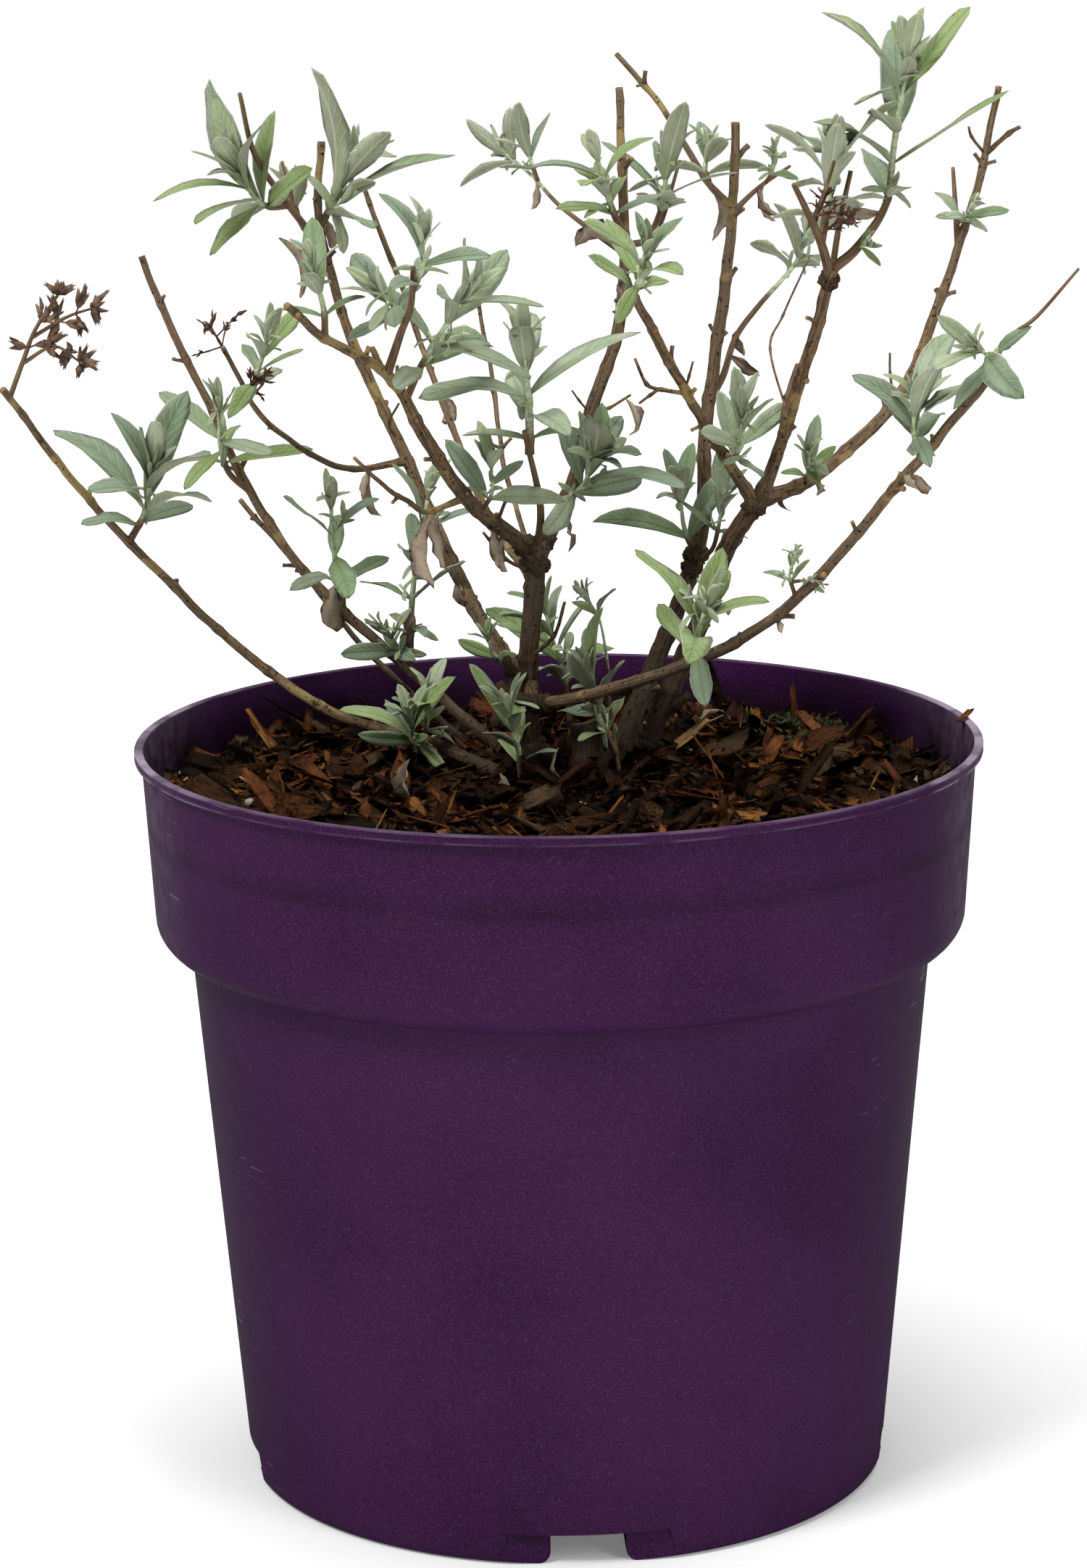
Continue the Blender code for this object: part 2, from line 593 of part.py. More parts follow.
def blade_corners(leaf, dodge=0, extra=0.0):
    """Root, tip, left, right, upper and lower corner of a leaf, with a blade that arches over."""
    along, wide, upper = blade_frame(leaf, dodge)
    half_width = leaf.length * LEAF_SHARE / 2 + extra
    half_thick = LEAF_THICKNESS / 2 + extra
    hump = leaf.length * math.radians(leaf.arch) / 8
    middle = leaf.root + along * leaf.length * WIDEST + upper * hump
    return [
        leaf.root - along * LEAF_ROOT,
        leaf.root + along * (leaf.length + extra),
        middle + wide * half_width,
        middle - wide * half_width,
        middle + upper * half_thick,
        middle - upper * half_thick,
    ]


BLADE_FACES = [(0, 2, 4), (0, 4, 3), (0, 3, 5), (0, 5, 2), (1, 4, 2), (1, 3, 4), (1, 5, 3), (1, 2, 5)]


def free_dodge(leaf, obstacles):
    """The first turn about the twig that keeps the leaf clear of everything placed before, or None."""
    for dodge in DODGES:
        tree = BVHTree.FromPolygons([c * MM for c in blade_corners(leaf, dodge, LEAF_CLEAR)], BLADE_FACES)
        if not any(tree.overlap(obstacle) for obstacle in obstacles):
            return dodge
    return None


def make_blade(name, corners):
    bm = bmesh.new()
    points = [bm.verts.new(corner * MM) for corner in corners]
    for face in BLADE_FACES:
        bm.faces.new([points[i] for i in face])
    return new_object(name, bm)


def surface_tree(obj):
    return BVHTree.FromPolygons([v.co for v in obj.data.vertices], [p.vertices for p in obj.data.polygons])


def twig_tube(name, twig, path, extra=0.0):
    reached = lengths_along(path)
    radii = [twig.girth / 2 * (1 - 0.5 * d / reached[-1]) + extra for d in reached]
    return tube(name, path, radii, TWIG_SIDES)


def make_stems(limbs, limb_routes):
    """Each mass's stem, cut clear of the wood that it meets, and those of its side twigs that find room."""
    stems = {}
    placed = []
    wood = [surface_tree(limb) for limb in limbs.values()]
    for name, (limb_name, twigs) in MASSES.items():
        stem_path = twig_path(twigs[0], limb_routes.get(limb_name), None)
        stem = twig_tube(name, twigs[0], stem_path)
        if limb_name is None:
            cut_level(stem)
        cutters = [
            limb_tube(other, route, GAP) for other, route in limb_routes.items()
            if nearest(stem_path, route) < (twigs[0].girth + LIMBS[other].foot) / 2 + GAP
        ]
        cutters += [
            twig_tube("passed", other, route, GAP) for other, route in placed
            if nearest(stem_path, route) < (twigs[0].girth + other.girth) / 2 + GAP
        ]
        if cutters:
            combine(stem, cutters, "DIFFERENCE")
        placed.append((twigs[0], stem_path))
        grown = [(twigs[0], stem_path, stem)]
        for twig in twigs[1:]:
            route = twig_path(twig, None, stem_path)
            side = twig_tube(f"{name}_side", twig, route)
            if any(surface_tree(side).overlap(tree) for tree in wood):
                print("no room for a side twig of", name)
                bpy.data.objects.remove(side)
                continue
            grown.append((twig, route, side))
        wood += [surface_tree(piece) for _, _, piece in grown]
        stems[name] = grown
    return stems


def add_leaves(name, grown, obstacles):
    """Fuses the side twigs and every leaf that finds room to the mass's stem."""
    pieces = [side for _, _, side in grown[1:]]
    for twig, route, _ in grown:
        for leaf in leaves_on(twig, route):
            dodge = free_dodge(leaf, obstacles)
            if dodge is None:
                print("no room for a leaf of", name)
                continue
            pieces.append(make_blade(f"{name}_leaf", blade_corners(leaf, dodge)))
    stem = grown[0][2]
    combine(stem, pieces, "UNION", SOLVER)
    dress(stem, FELTED_LEAF, 0.8, crease=25)


def make_masses(solids, limbs, limb_routes):
    stems = make_stems(limbs, limb_routes)
    trees = {name: [surface_tree(piece) for _, _, piece in grown] for name, grown in stems.items()}
    fixed = [surface_tree(solid) for solid in (*solids, *limbs.values())]
    for name, grown in stems.items():
        others = [tree for other, own in trees.items() if other != name for tree in own]
        add_leaves(name, grown, fixed + others)
        trees[name] = [surface_tree(grown[0][2])]


def main():
    clear_scene()
    pot = make_pot()
    mulch = make_mulch()
    limb_routes = limb_paths()
    limbs = make_limbs(limb_routes)
    make_masses((pot, mulch), limbs, limb_routes)


if __name__ == "__main__":
    main()
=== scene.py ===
# A butterfly bush in a purple nursery pot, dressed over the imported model.
# Lengths in the dictionaries are millimetres, angles are degrees, and +Y is the back.

import math
import random
from collections import namedtuple

import bmesh
import bpy
import numpy as np
from mathutils import Matrix, Vector, noise
from mathutils.bvhtree import BVHTree


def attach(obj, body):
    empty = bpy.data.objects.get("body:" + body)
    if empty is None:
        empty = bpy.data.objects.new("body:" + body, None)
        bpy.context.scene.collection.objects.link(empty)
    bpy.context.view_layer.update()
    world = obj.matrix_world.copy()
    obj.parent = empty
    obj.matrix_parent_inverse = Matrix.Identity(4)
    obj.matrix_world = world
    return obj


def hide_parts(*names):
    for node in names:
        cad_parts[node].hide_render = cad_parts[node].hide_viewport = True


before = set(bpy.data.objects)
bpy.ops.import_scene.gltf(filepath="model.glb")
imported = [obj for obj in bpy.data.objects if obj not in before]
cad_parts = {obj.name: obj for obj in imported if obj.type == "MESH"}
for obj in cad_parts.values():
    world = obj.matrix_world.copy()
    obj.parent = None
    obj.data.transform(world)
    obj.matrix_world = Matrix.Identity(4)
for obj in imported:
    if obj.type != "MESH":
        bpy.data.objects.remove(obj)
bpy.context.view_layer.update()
mm = 0.001
scene = bpy.context.scene
scene.view_settings.view_transform = "Standard"


# Camera, floor and light

view = {
    "place": (-0.003, -1.239, 0.479),  # metres
    "down": 13.086,
    "yaw": -0.057,
    "roll": -0.716,
    "lens": 107.28,  # on a 36 mm sensor
}

studio = {
    "floorRadius": 3.5,  # metres
    "floorColour": (0.9, 0.9, 0.9),
    "glowFrom": 0.4,  # the paper is lit from behind beyond this far from the pot
    "glowTo": 1.6,
    "nearGlow": (0.22, 0.22, 0.22),
    "floorGlow": 0.75,
    "mirroredColour": (0.13, 0.13, 0.13),
    "backdrop": (1.0, 1.0, 1.0),  # what the camera sees beyond the floor
    "frontLight": 0.20,  # the room's own light, from the camera's side and from behind the bush
    "backLight": 0.6,
    # name: (place, aim, width, height, watts), in metres
    "lamps": {
        "keyLeft": ((-1.0, -1.1, 2.0), (0, 0, 0.28), 0.7, 0.7, 36),
        "fillRight": ((1.3, -1.4, 1.2), (0, 0, 0.28), 0.8, 0.8, 12),
        "topSoft": ((0.1, 0.1, 1.9), (0, 0, 0.2), 1.1, 1.1, 26),
        "edgeLeft": ((-1.4, 0.9, 0.5), (0, 0, 0.15), 0.3, 1.2, 1.4),
        "edgeRight": ((1.4, 0.9, 0.5), (0, 0, 0.15), 0.3, 1.2, 0.5),
    },
}


def aimCamera():
    down, yaw, roll = (math.radians(view[k]) for k in ("down", "yaw", "roll"))
    ahead = Vector((math.sin(yaw) * math.cos(down), math.cos(yaw) * math.cos(down), -math.sin(down)))
    right = Vector((math.cos(yaw), -math.sin(yaw), 0))
    up = right.cross(ahead)
    turnedRight = math.cos(roll) * right + math.sin(roll) * up
    turnedUp = math.cos(roll) * up - math.sin(roll) * right
    camera = bpy.data.objects.new("camera", bpy.data.cameras.new("camera"))
    scene.collection.objects.link(camera)
    camera.data.sensor_width = 36
    camera.data.lens = view["lens"]
    camera.data.clip_start = 0.05
    turn = Matrix((turnedRight, turnedUp, -ahead)).transposed().to_4x4()
    turn.translation = view["place"]
    camera.matrix_world = turn
    scene.camera = camera


def lightStage():
    world = bpy.data.worlds.new("studio")
    world.use_nodes = True
    tree = world.node_tree
    room = tree.nodes["Background"]
    place = tree.nodes.new("ShaderNodeTexCoord")
    parts = addNode(tree, "ShaderNodeSeparateXYZ", sockets={0: place.outputs["Generated"]})
    behind = ramp(tree, parts.outputs[1], 0.92, 0.995)
    glow = maths(tree, "ADD", studio["frontLight"],
                 maths(tree, "MULTIPLY", behind, studio["backLight"] - studio["frontLight"]))
    tree.links.new(glow, room.inputs["Strength"])
    room.inputs["Color"].default_value = (1, 1, 1, 1)
    paper = addNode(tree, "ShaderNodeBackground", sockets={"Color": (*studio["backdrop"], 1), "Strength": 1.0})
    seen = tree.nodes.new("ShaderNodeLightPath")
    both = addNode(tree, "ShaderNodeMixShader",
                   sockets={0: seen.outputs["Is Camera Ray"], 1: room.outputs[0], 2: paper.outputs[0]})
    tree.links.new(both.outputs[0], tree.nodes["World Output"].inputs["Surface"])
    scene.world = world
    for name, (place, aim, width, height, watts) in studio["lamps"].items():
        lamp = bpy.data.lights.new(name, "AREA")
        lamp.shape = "RECTANGLE"
        lamp.size = width
        lamp.size_y = height
        lamp.energy = watts
        holder = bpy.data.objects.new(name, lamp)
        scene.collection.objects.link(holder)
        holder.location = place
        holder.rotation_euler = (Vector(aim) - Vector(place)).to_track_quat("-Z", "Y").to_euler()


def layFloor():
    bm = bmesh.new()
    bmesh.ops.create_circle(bm, cap_ends=True, segments=96, radius=studio["floorRadius"])
    floor = newObject("floor", bm)
    material, tree, shader = newMaterial("floorPaper", 0.9)
    # the pot mirrors a dark floor, so that its flanks keep their colour
    rays = tree.nodes.new("ShaderNodeLightPath")
    mirrored = rays.outputs["Is Glossy Ray"]
    paper = blendColour(tree, mirrored, studio["floorColour"], studio["mirroredColour"])
    tree.links.new(paper, shader.inputs["Base Color"])
    place = tree.nodes.new("ShaderNodeTexCoord")
    away = addNode(tree, "ShaderNodeVectorMath", operation="LENGTH", sockets={0: place.outputs["Object"]})
    glow = ramp(tree, away.outputs["Value"], studio["glowFrom"], studio["glowTo"])
    tree.links.new(blendColour(tree, glow, studio["nearGlow"], (1, 1, 1)), shader.inputs["Emission Color"])
    lit = maths(tree, "MULTIPLY", maths(tree, "SUBTRACT", 1.0, mirrored), studio["floorGlow"])
    tree.links.new(lit, shader.inputs["Emission Strength"])
    floor.data.materials.append(material)


# Small helpers

def newObject(name, bm):
    mesh = bpy.data.meshes.new(name)
    bm.to_mesh(mesh)
    bm.free()
    obj = bpy.data.objects.new(name, mesh)
    scene.collection.objects.link(obj)
    return obj


def finishPiece(obj, nodes, materials, smooth=True):
    for material in materials:
        obj.data.materials.append(material)
    if smooth:
        obj.data.shade_smooth()
    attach(obj, "root")
    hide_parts(*nodes)
    print(obj.name, "faces", len(obj.data.polygons))


def linear(code):
    # a screen colour such as "7d9a86" as the linear numbers a shader takes
    parts = [int(code[i:i + 2], 16) / 255 for i in (0, 2, 4)]
    return tuple(p / 12.92 if p <= 0.04045 else ((p + 0.055) / 1.055) ** 2.4 for p in parts)


def newMaterial(name, roughness):
    material = bpy.data.materials.new(name)
    material.use_nodes = True
    shader = material.node_tree.nodes["Principled BSDF"]
    shader.inputs["Roughness"].default_value = roughness
    shader.inputs["Specular IOR Level"].default_value = 0.2
    return material, material.node_tree, shader


def addNode(tree, kind, **settings):
    # sockets are set by name or place, from a number, a tuple or another node's output
    sockets = settings.pop("sockets", {})
    node = tree.nodes.new(kind)
    for key, value in settings.items():
        setattr(node, key, value)
    for key, value in sockets.items():
        if isinstance(value, bpy.types.NodeSocket):
            tree.links.new(value, node.inputs[key])
        else:
            node.inputs[key].default_value = value
    return node


def maths(tree, operation, *values, clamp=False):
    node = addNode(tree, "ShaderNodeMath", operation=operation, use_clamp=clamp,
                   sockets={i: v for i, v in enumerate(values)})
    return node.outputs[0]


def blendColour(tree, share, low, high):
    node = tree.nodes.new("ShaderNodeMix")
    node.data_type = "RGBA"
    for socket, value in ((node.inputs[0], share), (node.inputs[6], low), (node.inputs[7], high)):
        if isinstance(value, bpy.types.NodeSocket):
            tree.links.new(value, socket)
        else:
            socket.default_value = (*value, 1) if isinstance(value, tuple) else value
    return node.outputs[2]


def ramp(tree, value, low, high):
    # 0 below low, 1 above high, smooth between
    node = addNode(tree, "ShaderNodeMapRange", interpolation_type="SMOOTHSTEP",
                   sockets={0: value, 1: low, 2: high, 3: 0.0, 4: 1.0})
    return node.outputs[0]


def newGroup(name, inputs, outputs):
    group = bpy.data.node_groups.new(name, "ShaderNodeTree")
    for label, kind, value in inputs:
        socket = group.interface.new_socket(label, in_out="INPUT", socket_type=kind)
        if value is not None:
            socket.default_value = value
    for label, kind in outputs:
        group.interface.new_socket(label, in_out="OUTPUT", socket_type=kind)
    return group, group.nodes.new("NodeGroupInput"), group.nodes.new("NodeGroupOutput")


def useGroup(tree, group, **sockets):
    node = tree.nodes.new("ShaderNodeGroup")
    node.node_tree = group
    for key, value in sockets.items():
        if isinstance(value, bpy.types.NodeSocket):
            tree.links.new(value, node.inputs[key])
        else:
            node.inputs[key].default_value = value
    return node


# Shared shader effects

def makeMottle():
    # soft patches over a surface, from 0 to 1
    group, start, end = newGroup(
        "mottle",
        [("Scale", "NodeSocketFloat", 40.0), ("Low", "NodeSocketFloat", 0.35), ("High", "NodeSocketFloat", 0.65)],
        [("Mask", "NodeSocketFloat")],
    )
    place = group.nodes.new("ShaderNodeTexCoord")
    cloud = addNode(group, "ShaderNodeTexNoise",
                    sockets={"Vector": place.outputs["Object"], "Scale": start.outputs["Scale"], "Detail": 4.0})
    mask = ramp(group, cloud.outputs["Fac"], start.outputs["Low"], start.outputs["High"])
    group.links.new(mask, end.inputs["Mask"])
    return group


def makeFibre():
    # streaks that follow a stem or a chip, read from its grain attribute
    group, start, end = newGroup(
        "fibre",
        [("Across", "NodeSocketFloat", 3.0), ("Along", "NodeSocketFloat", 0.12)],
        [("Streak", "NodeSocketFloat"), ("Fleck", "NodeSocketFloat")],
    )
    grain = addNode(group, "ShaderNodeAttribute", attribute_name="grain")
    parts = addNode(group, "ShaderNodeSeparateXYZ", sockets={0: grain.outputs["Vector"]})
    across = [maths(group, "MULTIPLY", parts.outputs[i], start.outputs["Across"]) for i in (0, 1)]
    along = maths(group, "MULTIPLY", parts.outputs[2], start.outputs["Along"])
    stretched = addNode(group, "ShaderNodeCombineXYZ", sockets={0: across[0], 1: across[1], 2: along})
    streak = addNode(group, "ShaderNodeTexNoise",
                     sockets={"Vector": stretched.outputs[0], "Scale": 1.0, "Detail": 5.0, "Roughness": 0.6})
    fleck = addNode(group, "ShaderNodeTexNoise",
                    sockets={"Vector": grain.outputs["Vector"], "Scale": 0.9, "Detail": 4.0})
    group.links.new(streak.outputs["Fac"], end.inputs["Streak"])
    group.links.new(fleck.outputs["Fac"], end.inputs["Fleck"])
    return group


def makeVeins():
    # a leaf's midrib, side veins and margin, from its own map: x across it, y from foot to tip
    group, start, end = newGroup(
        "leafVeins",
        [("Count", "NodeSocketFloat", 9.0), ("Slope", "NodeSocketFloat", 0.22)],
        [("Midrib", "NodeSocketFloat"), ("Veins", "NodeSocketFloat"), ("Margin", "NodeSocketFloat"),
         ("Foot", "NodeSocketFloat")],
    )
    chart = addNode(group, "ShaderNodeUVMap", uv_map="leafMap")
    parts = addNode(group, "ShaderNodeSeparateXYZ", sockets={0: chart.outputs[0]})
    centred = maths(group, "SUBTRACT", parts.outputs[0], 0.5)
    aside = maths(group, "MULTIPLY", maths(group, "ABSOLUTE", centred), 2.0)
    midrib = maths(group, "SUBTRACT", 1.0, ramp(group, aside, 0.05, 0.16))
    climb = maths(group, "SUBTRACT", parts.outputs[1], maths(group, "MULTIPLY", aside, start.outputs["Slope"]))
    steps = maths(group, "PINGPONG", maths(group, "MULTIPLY", climb, start.outputs["Count"]), 0.5)
    line = maths(group, "SUBTRACT", 1.0, ramp(group, steps, 0.02, 0.17))
    veins = maths(group, "MULTIPLY", line, maths(group, "SUBTRACT", 1.0, ramp(group, aside, 0.7, 1.0)))
    frayed = addNode(group, "ShaderNodeTexNoise", sockets={"Vector": chart.outputs[0], "Scale": 30.0})
    edge = maths(group, "ADD", aside, maths(group, "MULTIPLY", frayed.outputs["Fac"], 0.16))
    margin = ramp(group, edge, 0.93, 1.06)
    inward = maths(group, "ADD", parts.outputs[1], maths(group, "MULTIPLY", aside, 0.5))
    foot = maths(group, "SUBTRACT", 1.0, ramp(group, inward, 0.12, 0.75))
    for value, label in ((midrib, "Midrib"), (veins, "Veins"), (margin, "Margin"), (foot, "Foot")):
        group.links.new(value, end.inputs[label])
    return group


mottle = makeMottle()
fibre = makeFibre()
leafVeins = makeVeins()


# Pot

pot = {
    "height": 204.0,
    "rimRadius": 115.0,
    "rimInside": 112.5,
    "lipHeight": 2.5,
    "lipRound": 0.45,
    "bandTopRadius": 113.1,
    "bandFootRadius": 110.5,
    "bandFootHeight": 150.0,
    "bandEdgeRadius": 8.0,
    "bodyTopRadius": 101.5,
    "bodyFootRadius": 88.3,
    "wall": 1.4,
    "footRingWidth": 8.0,
    "footBevel": 1.2,
    "footHeight": 3.5,
    "footEdge": 3.0,
    "footBand": 5.5,  # a hair's breadth of step round the foot
    "footStep": 0.05,
    "floorHeight": 12.0,
    "padRadius": 20.0,
    "notches": 4,
    "notchTurn": 3.5,
    "notchWidth": 43.0,
    "notchDepth": 3.0,
    "notchHeight": 9.0,
    "notchSlant": 3.8,
    "drainWidth": 20.0,
    "drainReach": 62.0,
    "drainRound": 3.2,
    "sides": 144,
    "scuffReach": 72.0,  # scratches only this far out to the sides
    # dust and painted sheen from this far out to the sides
    "dustAndSheenReach": 96.0,
    "colour": "38133f",
    "deepColour": "2f0d35",
    "dirtColour": "150c0a",
    # pale of the scratches and specks, and of the painted highlights on the lip
    "wearAndHighlightColour": "9a8a9c",
    "dustAndSheenColour": "8d8790",
}


def arcPoints(middle, radius, first, last, count):
    turns = [math.radians(first + (last - first) * i / count) for i in range(count + 1)]
    return [(middle[0] + radius * math.cos(t), middle[1] + radius * math.sin(t)) for t in turns]


def potProfile():
    p = pot
    edge = (p["bandFootRadius"] - p["bandEdgeRadius"], p["bandFootHeight"] + p["bandEdgeRadius"])
    ringInside = p["bodyFootRadius"] - p["footRingWidth"]
    insideFoot = p["bodyFootRadius"] - p["wall"] + 1
    lipLow = p["height"] - p["lipHeight"]
    footRise = (p["bodyTopRadius"] - p["bodyFootRadius"]) * p["footBand"] / p["bandFootHeight"]
    r = p["lipRound"]
    return [
        (0, 0),
        (p["padRadius"], 0),
        (p["padRadius"] + p["footBevel"], p["footHeight"]),
        (ringInside, p["footHeight"]),
        (ringInside + p["footBevel"], 0),
        *arcPoints((p["bodyFootRadius"] + 0.3 - p["footEdge"], p["footEdge"]), p["footEdge"], -90, 0, 6),
        (p["bodyFootRadius"] + footRise + 0.1, p["footBand"] - 0.3),
        (p["bodyFootRadius"] + footRise - p["footStep"], p["footBand"] + 0.1),
        (p["bodyTopRadius"] - 0.5, p["bandFootHeight"] - 2),
        *arcPoints((p["bodyTopRadius"] + 0.6, p["bandFootHeight"] - 0.9), 0.9, 180, 90, 3),
        *arcPoints(edge, p["bandEdgeRadius"], -84, 0, 8),
        (p["bandTopRadius"] - 0.1, lipLow - 2),
        *arcPoints((p["bandTopRadius"] + 0.3, lipLow - 0.3), 0.3, 180, 90, 2),
        *arcPoints((p["rimRadius"] - 0.3, lipLow + 0.3), 0.3, -90, 0, 3),
        (p["rimRadius"] - 0.2, lipLow + 0.9),
        (p["rimRadius"] - 0.2, p["height"] - 0.9),
        *arcPoints((p["rimRadius"] - r, p["height"] - r), r, 0, 90, 4),
        *arcPoints((p["rimInside"] + r, p["height"] - r), r, 90, 180, 3),
        (p["bandTopRadius"] - p["wall"], p["height"] - 6),
        *reversed(arcPoints(edge, p["bandEdgeRadius"] - p["wall"], -90, 0, 6)),
        (p["bodyTopRadius"] - p["wall"], p["bandFootHeight"] + p["wall"]),
        (insideFoot, p["floorHeight"]),
        (0, p["floorHeight"]),
    ]


def spinProfile(name, profile, sides):
    bm = bmesh.new()
    corners = [bm.verts.new((r * mm, 0, z * mm)) for r, z in profile]
    edges = [bm.edges.new(pair) for pair in zip(corners, corners[1:])]
    bmesh.ops.spin(bm, geom=corners + edges, axis=(0, 0, 1), cent=(0, 0, 0),
                   steps=sides, angle=math.tau, use_merge=True)
    bmesh.ops.remove_doubles(bm, verts=bm.verts, dist=1e-6)
    bmesh.ops.recalc_face_normals(bm, faces=bm.faces)
    return newObject(name, bm)


def notchCutter(width, slant, rounded, inside, outside, turn):
    # a block, wider at its foot by the slant, or by arcs that round off the corners it leaves
    bm = bmesh.new()
    bmesh.ops.create_cube(bm, size=1)
    upright = [e for e in bm.edges if abs(e.verts[0].co.z - e.verts[1].co.z) > 0.5]
    bmesh.ops.subdivide_edges(bm, edges=upright, cuts=13, use_grid_fill=True)
    low = -4.0
    for v in bm.verts:
        height = low + (pot["notchHeight"] - low) * (v.co.z + 0.5)
        half = width / 2 + slant * (pot["notchHeight"] - height) / (pot["notchHeight"] - low)
        if height < rounded:
            inward = rounded - max(height, 0)
            half += rounded - math.sqrt(rounded**2 - inward**2)
        reach = inside if v.co.y > 0 else pot["bodyFootRadius"] + outside
        v.co = Vector((math.copysign(half, v.co.x), -reach, height)) * mm
    bm.transform(Matrix.Rotation(turn, 4, "Z"))
    return newObject("cutter", bm)


def cutAway(obj, cutters):
    for cutter in cutters:
        cut = obj.modifiers.new("cut", "BOOLEAN")
        cut.operation = "DIFFERENCE"
        cut.object = cutter
    shaped = bpy.data.meshes.new_from_object(obj.evaluated_get(bpy.context.evaluated_depsgraph_get()))
    obj.modifiers.clear()
    obj.data = shaped
    for cutter in cutters:
        bpy.data.objects.remove(cutter)


def potPlastic():
    material, tree, shader = newMaterial("potPlastic", 0.36)
    shader.inputs["Specular IOR Level"].default_value = 0.13
    place = tree.nodes.new("ShaderNodeTexCoord")
    parts = addNode(tree, "ShaderNodeSeparateXYZ", sockets={0: place.outputs["Object"]})
    height = parts.outputs[2]
    sideways = maths(tree, "ABSOLUTE", parts.outputs[0])
    soft = useGroup(tree, mottle, Scale=14.0, Low=0.3, High=0.7)
    colour = blendColour(tree, soft.outputs[0], linear(pot["deepColour"]), linear(pot["colour"]))
    # short level scratches, where patches of wear allow them
    squeezed = addNode(tree, "ShaderNodeMapping", sockets={"Vector": place.outputs["Object"], "Scale": (40, 40, 700)})
    scratch = addNode(tree, "ShaderNodeTexNoise", sockets={"Vector": squeezed.outputs[0], "Scale": 1.6, "Detail": 3.0})
    lines = ramp(tree, scratch.outputs["Fac"], 0.64, 0.70)
    sides = ramp(tree, sideways, pot["scuffReach"] * mm, (pot["scuffReach"] + 14) * mm)
    patch = useGroup(tree, mottle, Scale=26.0, Low=0.50, High=0.62)
    scuffs = maths(tree, "MULTIPLY", lines, maths(tree, "MULTIPLY", patch.outputs[0], sides))
    # painted highlight lines along the lip's two edges, brightest at the sides; the scratches share their pale colour
    level = addNode(tree, "ShaderNodeCombineXYZ", sockets={0: parts.outputs[0], 1: parts.outputs[1], 2: 0.0})
    away = addNode(tree, "ShaderNodeVectorMath", operation="LENGTH", sockets={0: level.outputs[0]})
    lipLow = pot["height"] - pot["lipHeight"]
    top = ramp(tree, height, (pot["height"] - 0.5) * mm, (pot["height"] - 0.1) * mm)
    foot = maths(tree, "SUBTRACT", 1.0, ramp(tree, height, (lipLow + 0.3) * mm, (lipLow + 0.8) * mm))
    outermost = ramp(tree, away.outputs["Value"], (pot["rimRadius"] - 1.2) * mm, (pot["rimRadius"] - 0.5) * mm)
    edges = maths(tree, "MAXIMUM", top, maths(tree, "MULTIPLY", foot, outermost))
    flanks = ramp(tree, sideways, 0.085, 0.113)
    lipBreakup = useGroup(tree, mottle, Scale=60.0, Low=0.36, High=0.62)
    amount = maths(tree, "ADD", 0.14, maths(tree, "MULTIPLY", flanks, 0.8))
    lipHighlight = maths(tree, "MULTIPLY", edges, maths(tree, "MULTIPLY", amount, lipBreakup.outputs[0]))
    wearAndHighlight = maths(tree, "MAXIMUM", lipHighlight, maths(tree, "MULTIPLY", scuffs, 0.5))
    colour = blendColour(tree, wearAndHighlight, colour, linear(pot["wearAndHighlightColour"]))
    # dust and painted sheen on the flanks, and fine specks all over
    far = ramp(tree, sideways, pot["dustAndSheenReach"] * mm, (pot["rimRadius"] + 2) * mm)
    grit = useGroup(tree, mottle, Scale=210.0, Low=0.15, High=0.90)
    dustAndSheen = maths(tree, "MULTIPLY", far, maths(tree, "MULTIPLY", grit.outputs[0], 0.42))
    colour = blendColour(tree, dustAndSheen, colour, linear(pot["dustAndSheenColour"]))
    specks = useGroup(tree, mottle, Scale=2300.0, Low=0.45, High=0.80)
    colour = blendColour(tree, maths(tree, "MULTIPLY", specks.outputs[0], 0.10), colour, linear(pot["wearAndHighlightColour"]))
    # soil smeared on the inside of the wall
    inside = maths(tree, "SUBTRACT", 1.0, ramp(tree, away.outputs["Value"], 0.1115, 0.1124))
    smear = useGroup(tree, mottle, Scale=60.0, Low=0.25, High=0.75)
    raised = maths(tree, "SUBTRACT", 1.0, ramp(tree, height, 0.190, 0.203))
    reach = maths(tree, "MULTIPLY", inside, ramp(tree, height, 0.180, 0.184))
    dirt = maths(tree, "MULTIPLY", reach, maths(tree, "MULTIPLY", raised, maths(tree, "ADD", 0.3, smear.outputs[0])))
    colour = blendColour(tree, maths(tree, "MULTIPLY", dirt, 0.8, clamp=True), colour, linear(pot["dirtColour"]))
    tree.links.new(colour, shader.inputs["Base Color"])
    rough = maths(tree, "ADD", 0.30, maths(tree, "MULTIPLY", soft.outputs[0], 0.12))
    tree.links.new(maths(tree, "ADD", rough, maths(tree, "MULTIPLY", wearAndHighlight, 0.25)), shader.inputs["Roughness"])
    pebble = addNode(tree, "ShaderNodeTexNoise", sockets={"Vector": place.outputs["Object"], "Scale": 1300.0})
    swell = addNode(tree, "ShaderNodeTexNoise", sockets={"Vector": place.outputs["Object"], "Scale": 22.0})
    relief = maths(tree, "ADD", pebble.outputs["Fac"], maths(tree, "MULTIPLY", swell.outputs["Fac"], 14.0))
    bump = addNode(tree, "ShaderNodeBump", sockets={"Strength": 0.4, "Distance": 0.00012, "Height": relief})
    tree.links.new(bump.outputs[0], shader.inputs["Normal"])
    return material


def makePot():
    body = spinProfile("nurseryPot", potProfile(), pot["sides"])
    cutters = []
    for i in range(pot["notches"]):
        turn = math.radians(pot["notchTurn"] + i * 360 / pot["notches"])
        inset = pot["bodyFootRadius"] - pot["notchDepth"]
        cutters.append(notchCutter(pot["notchWidth"], pot["notchSlant"], 0, inset, 8, turn))
        cutters.append(notchCutter(pot["drainWidth"], 0, pot["drainRound"], pot["drainReach"], 6, turn))
    cutAway(body, cutters)
    finishPiece(body, ["pot"], [potPlastic()])
    body.data.set_sharp_from_angle(angle=math.radians(35))
    return body


# Wood and shoots: the same routes as the solids

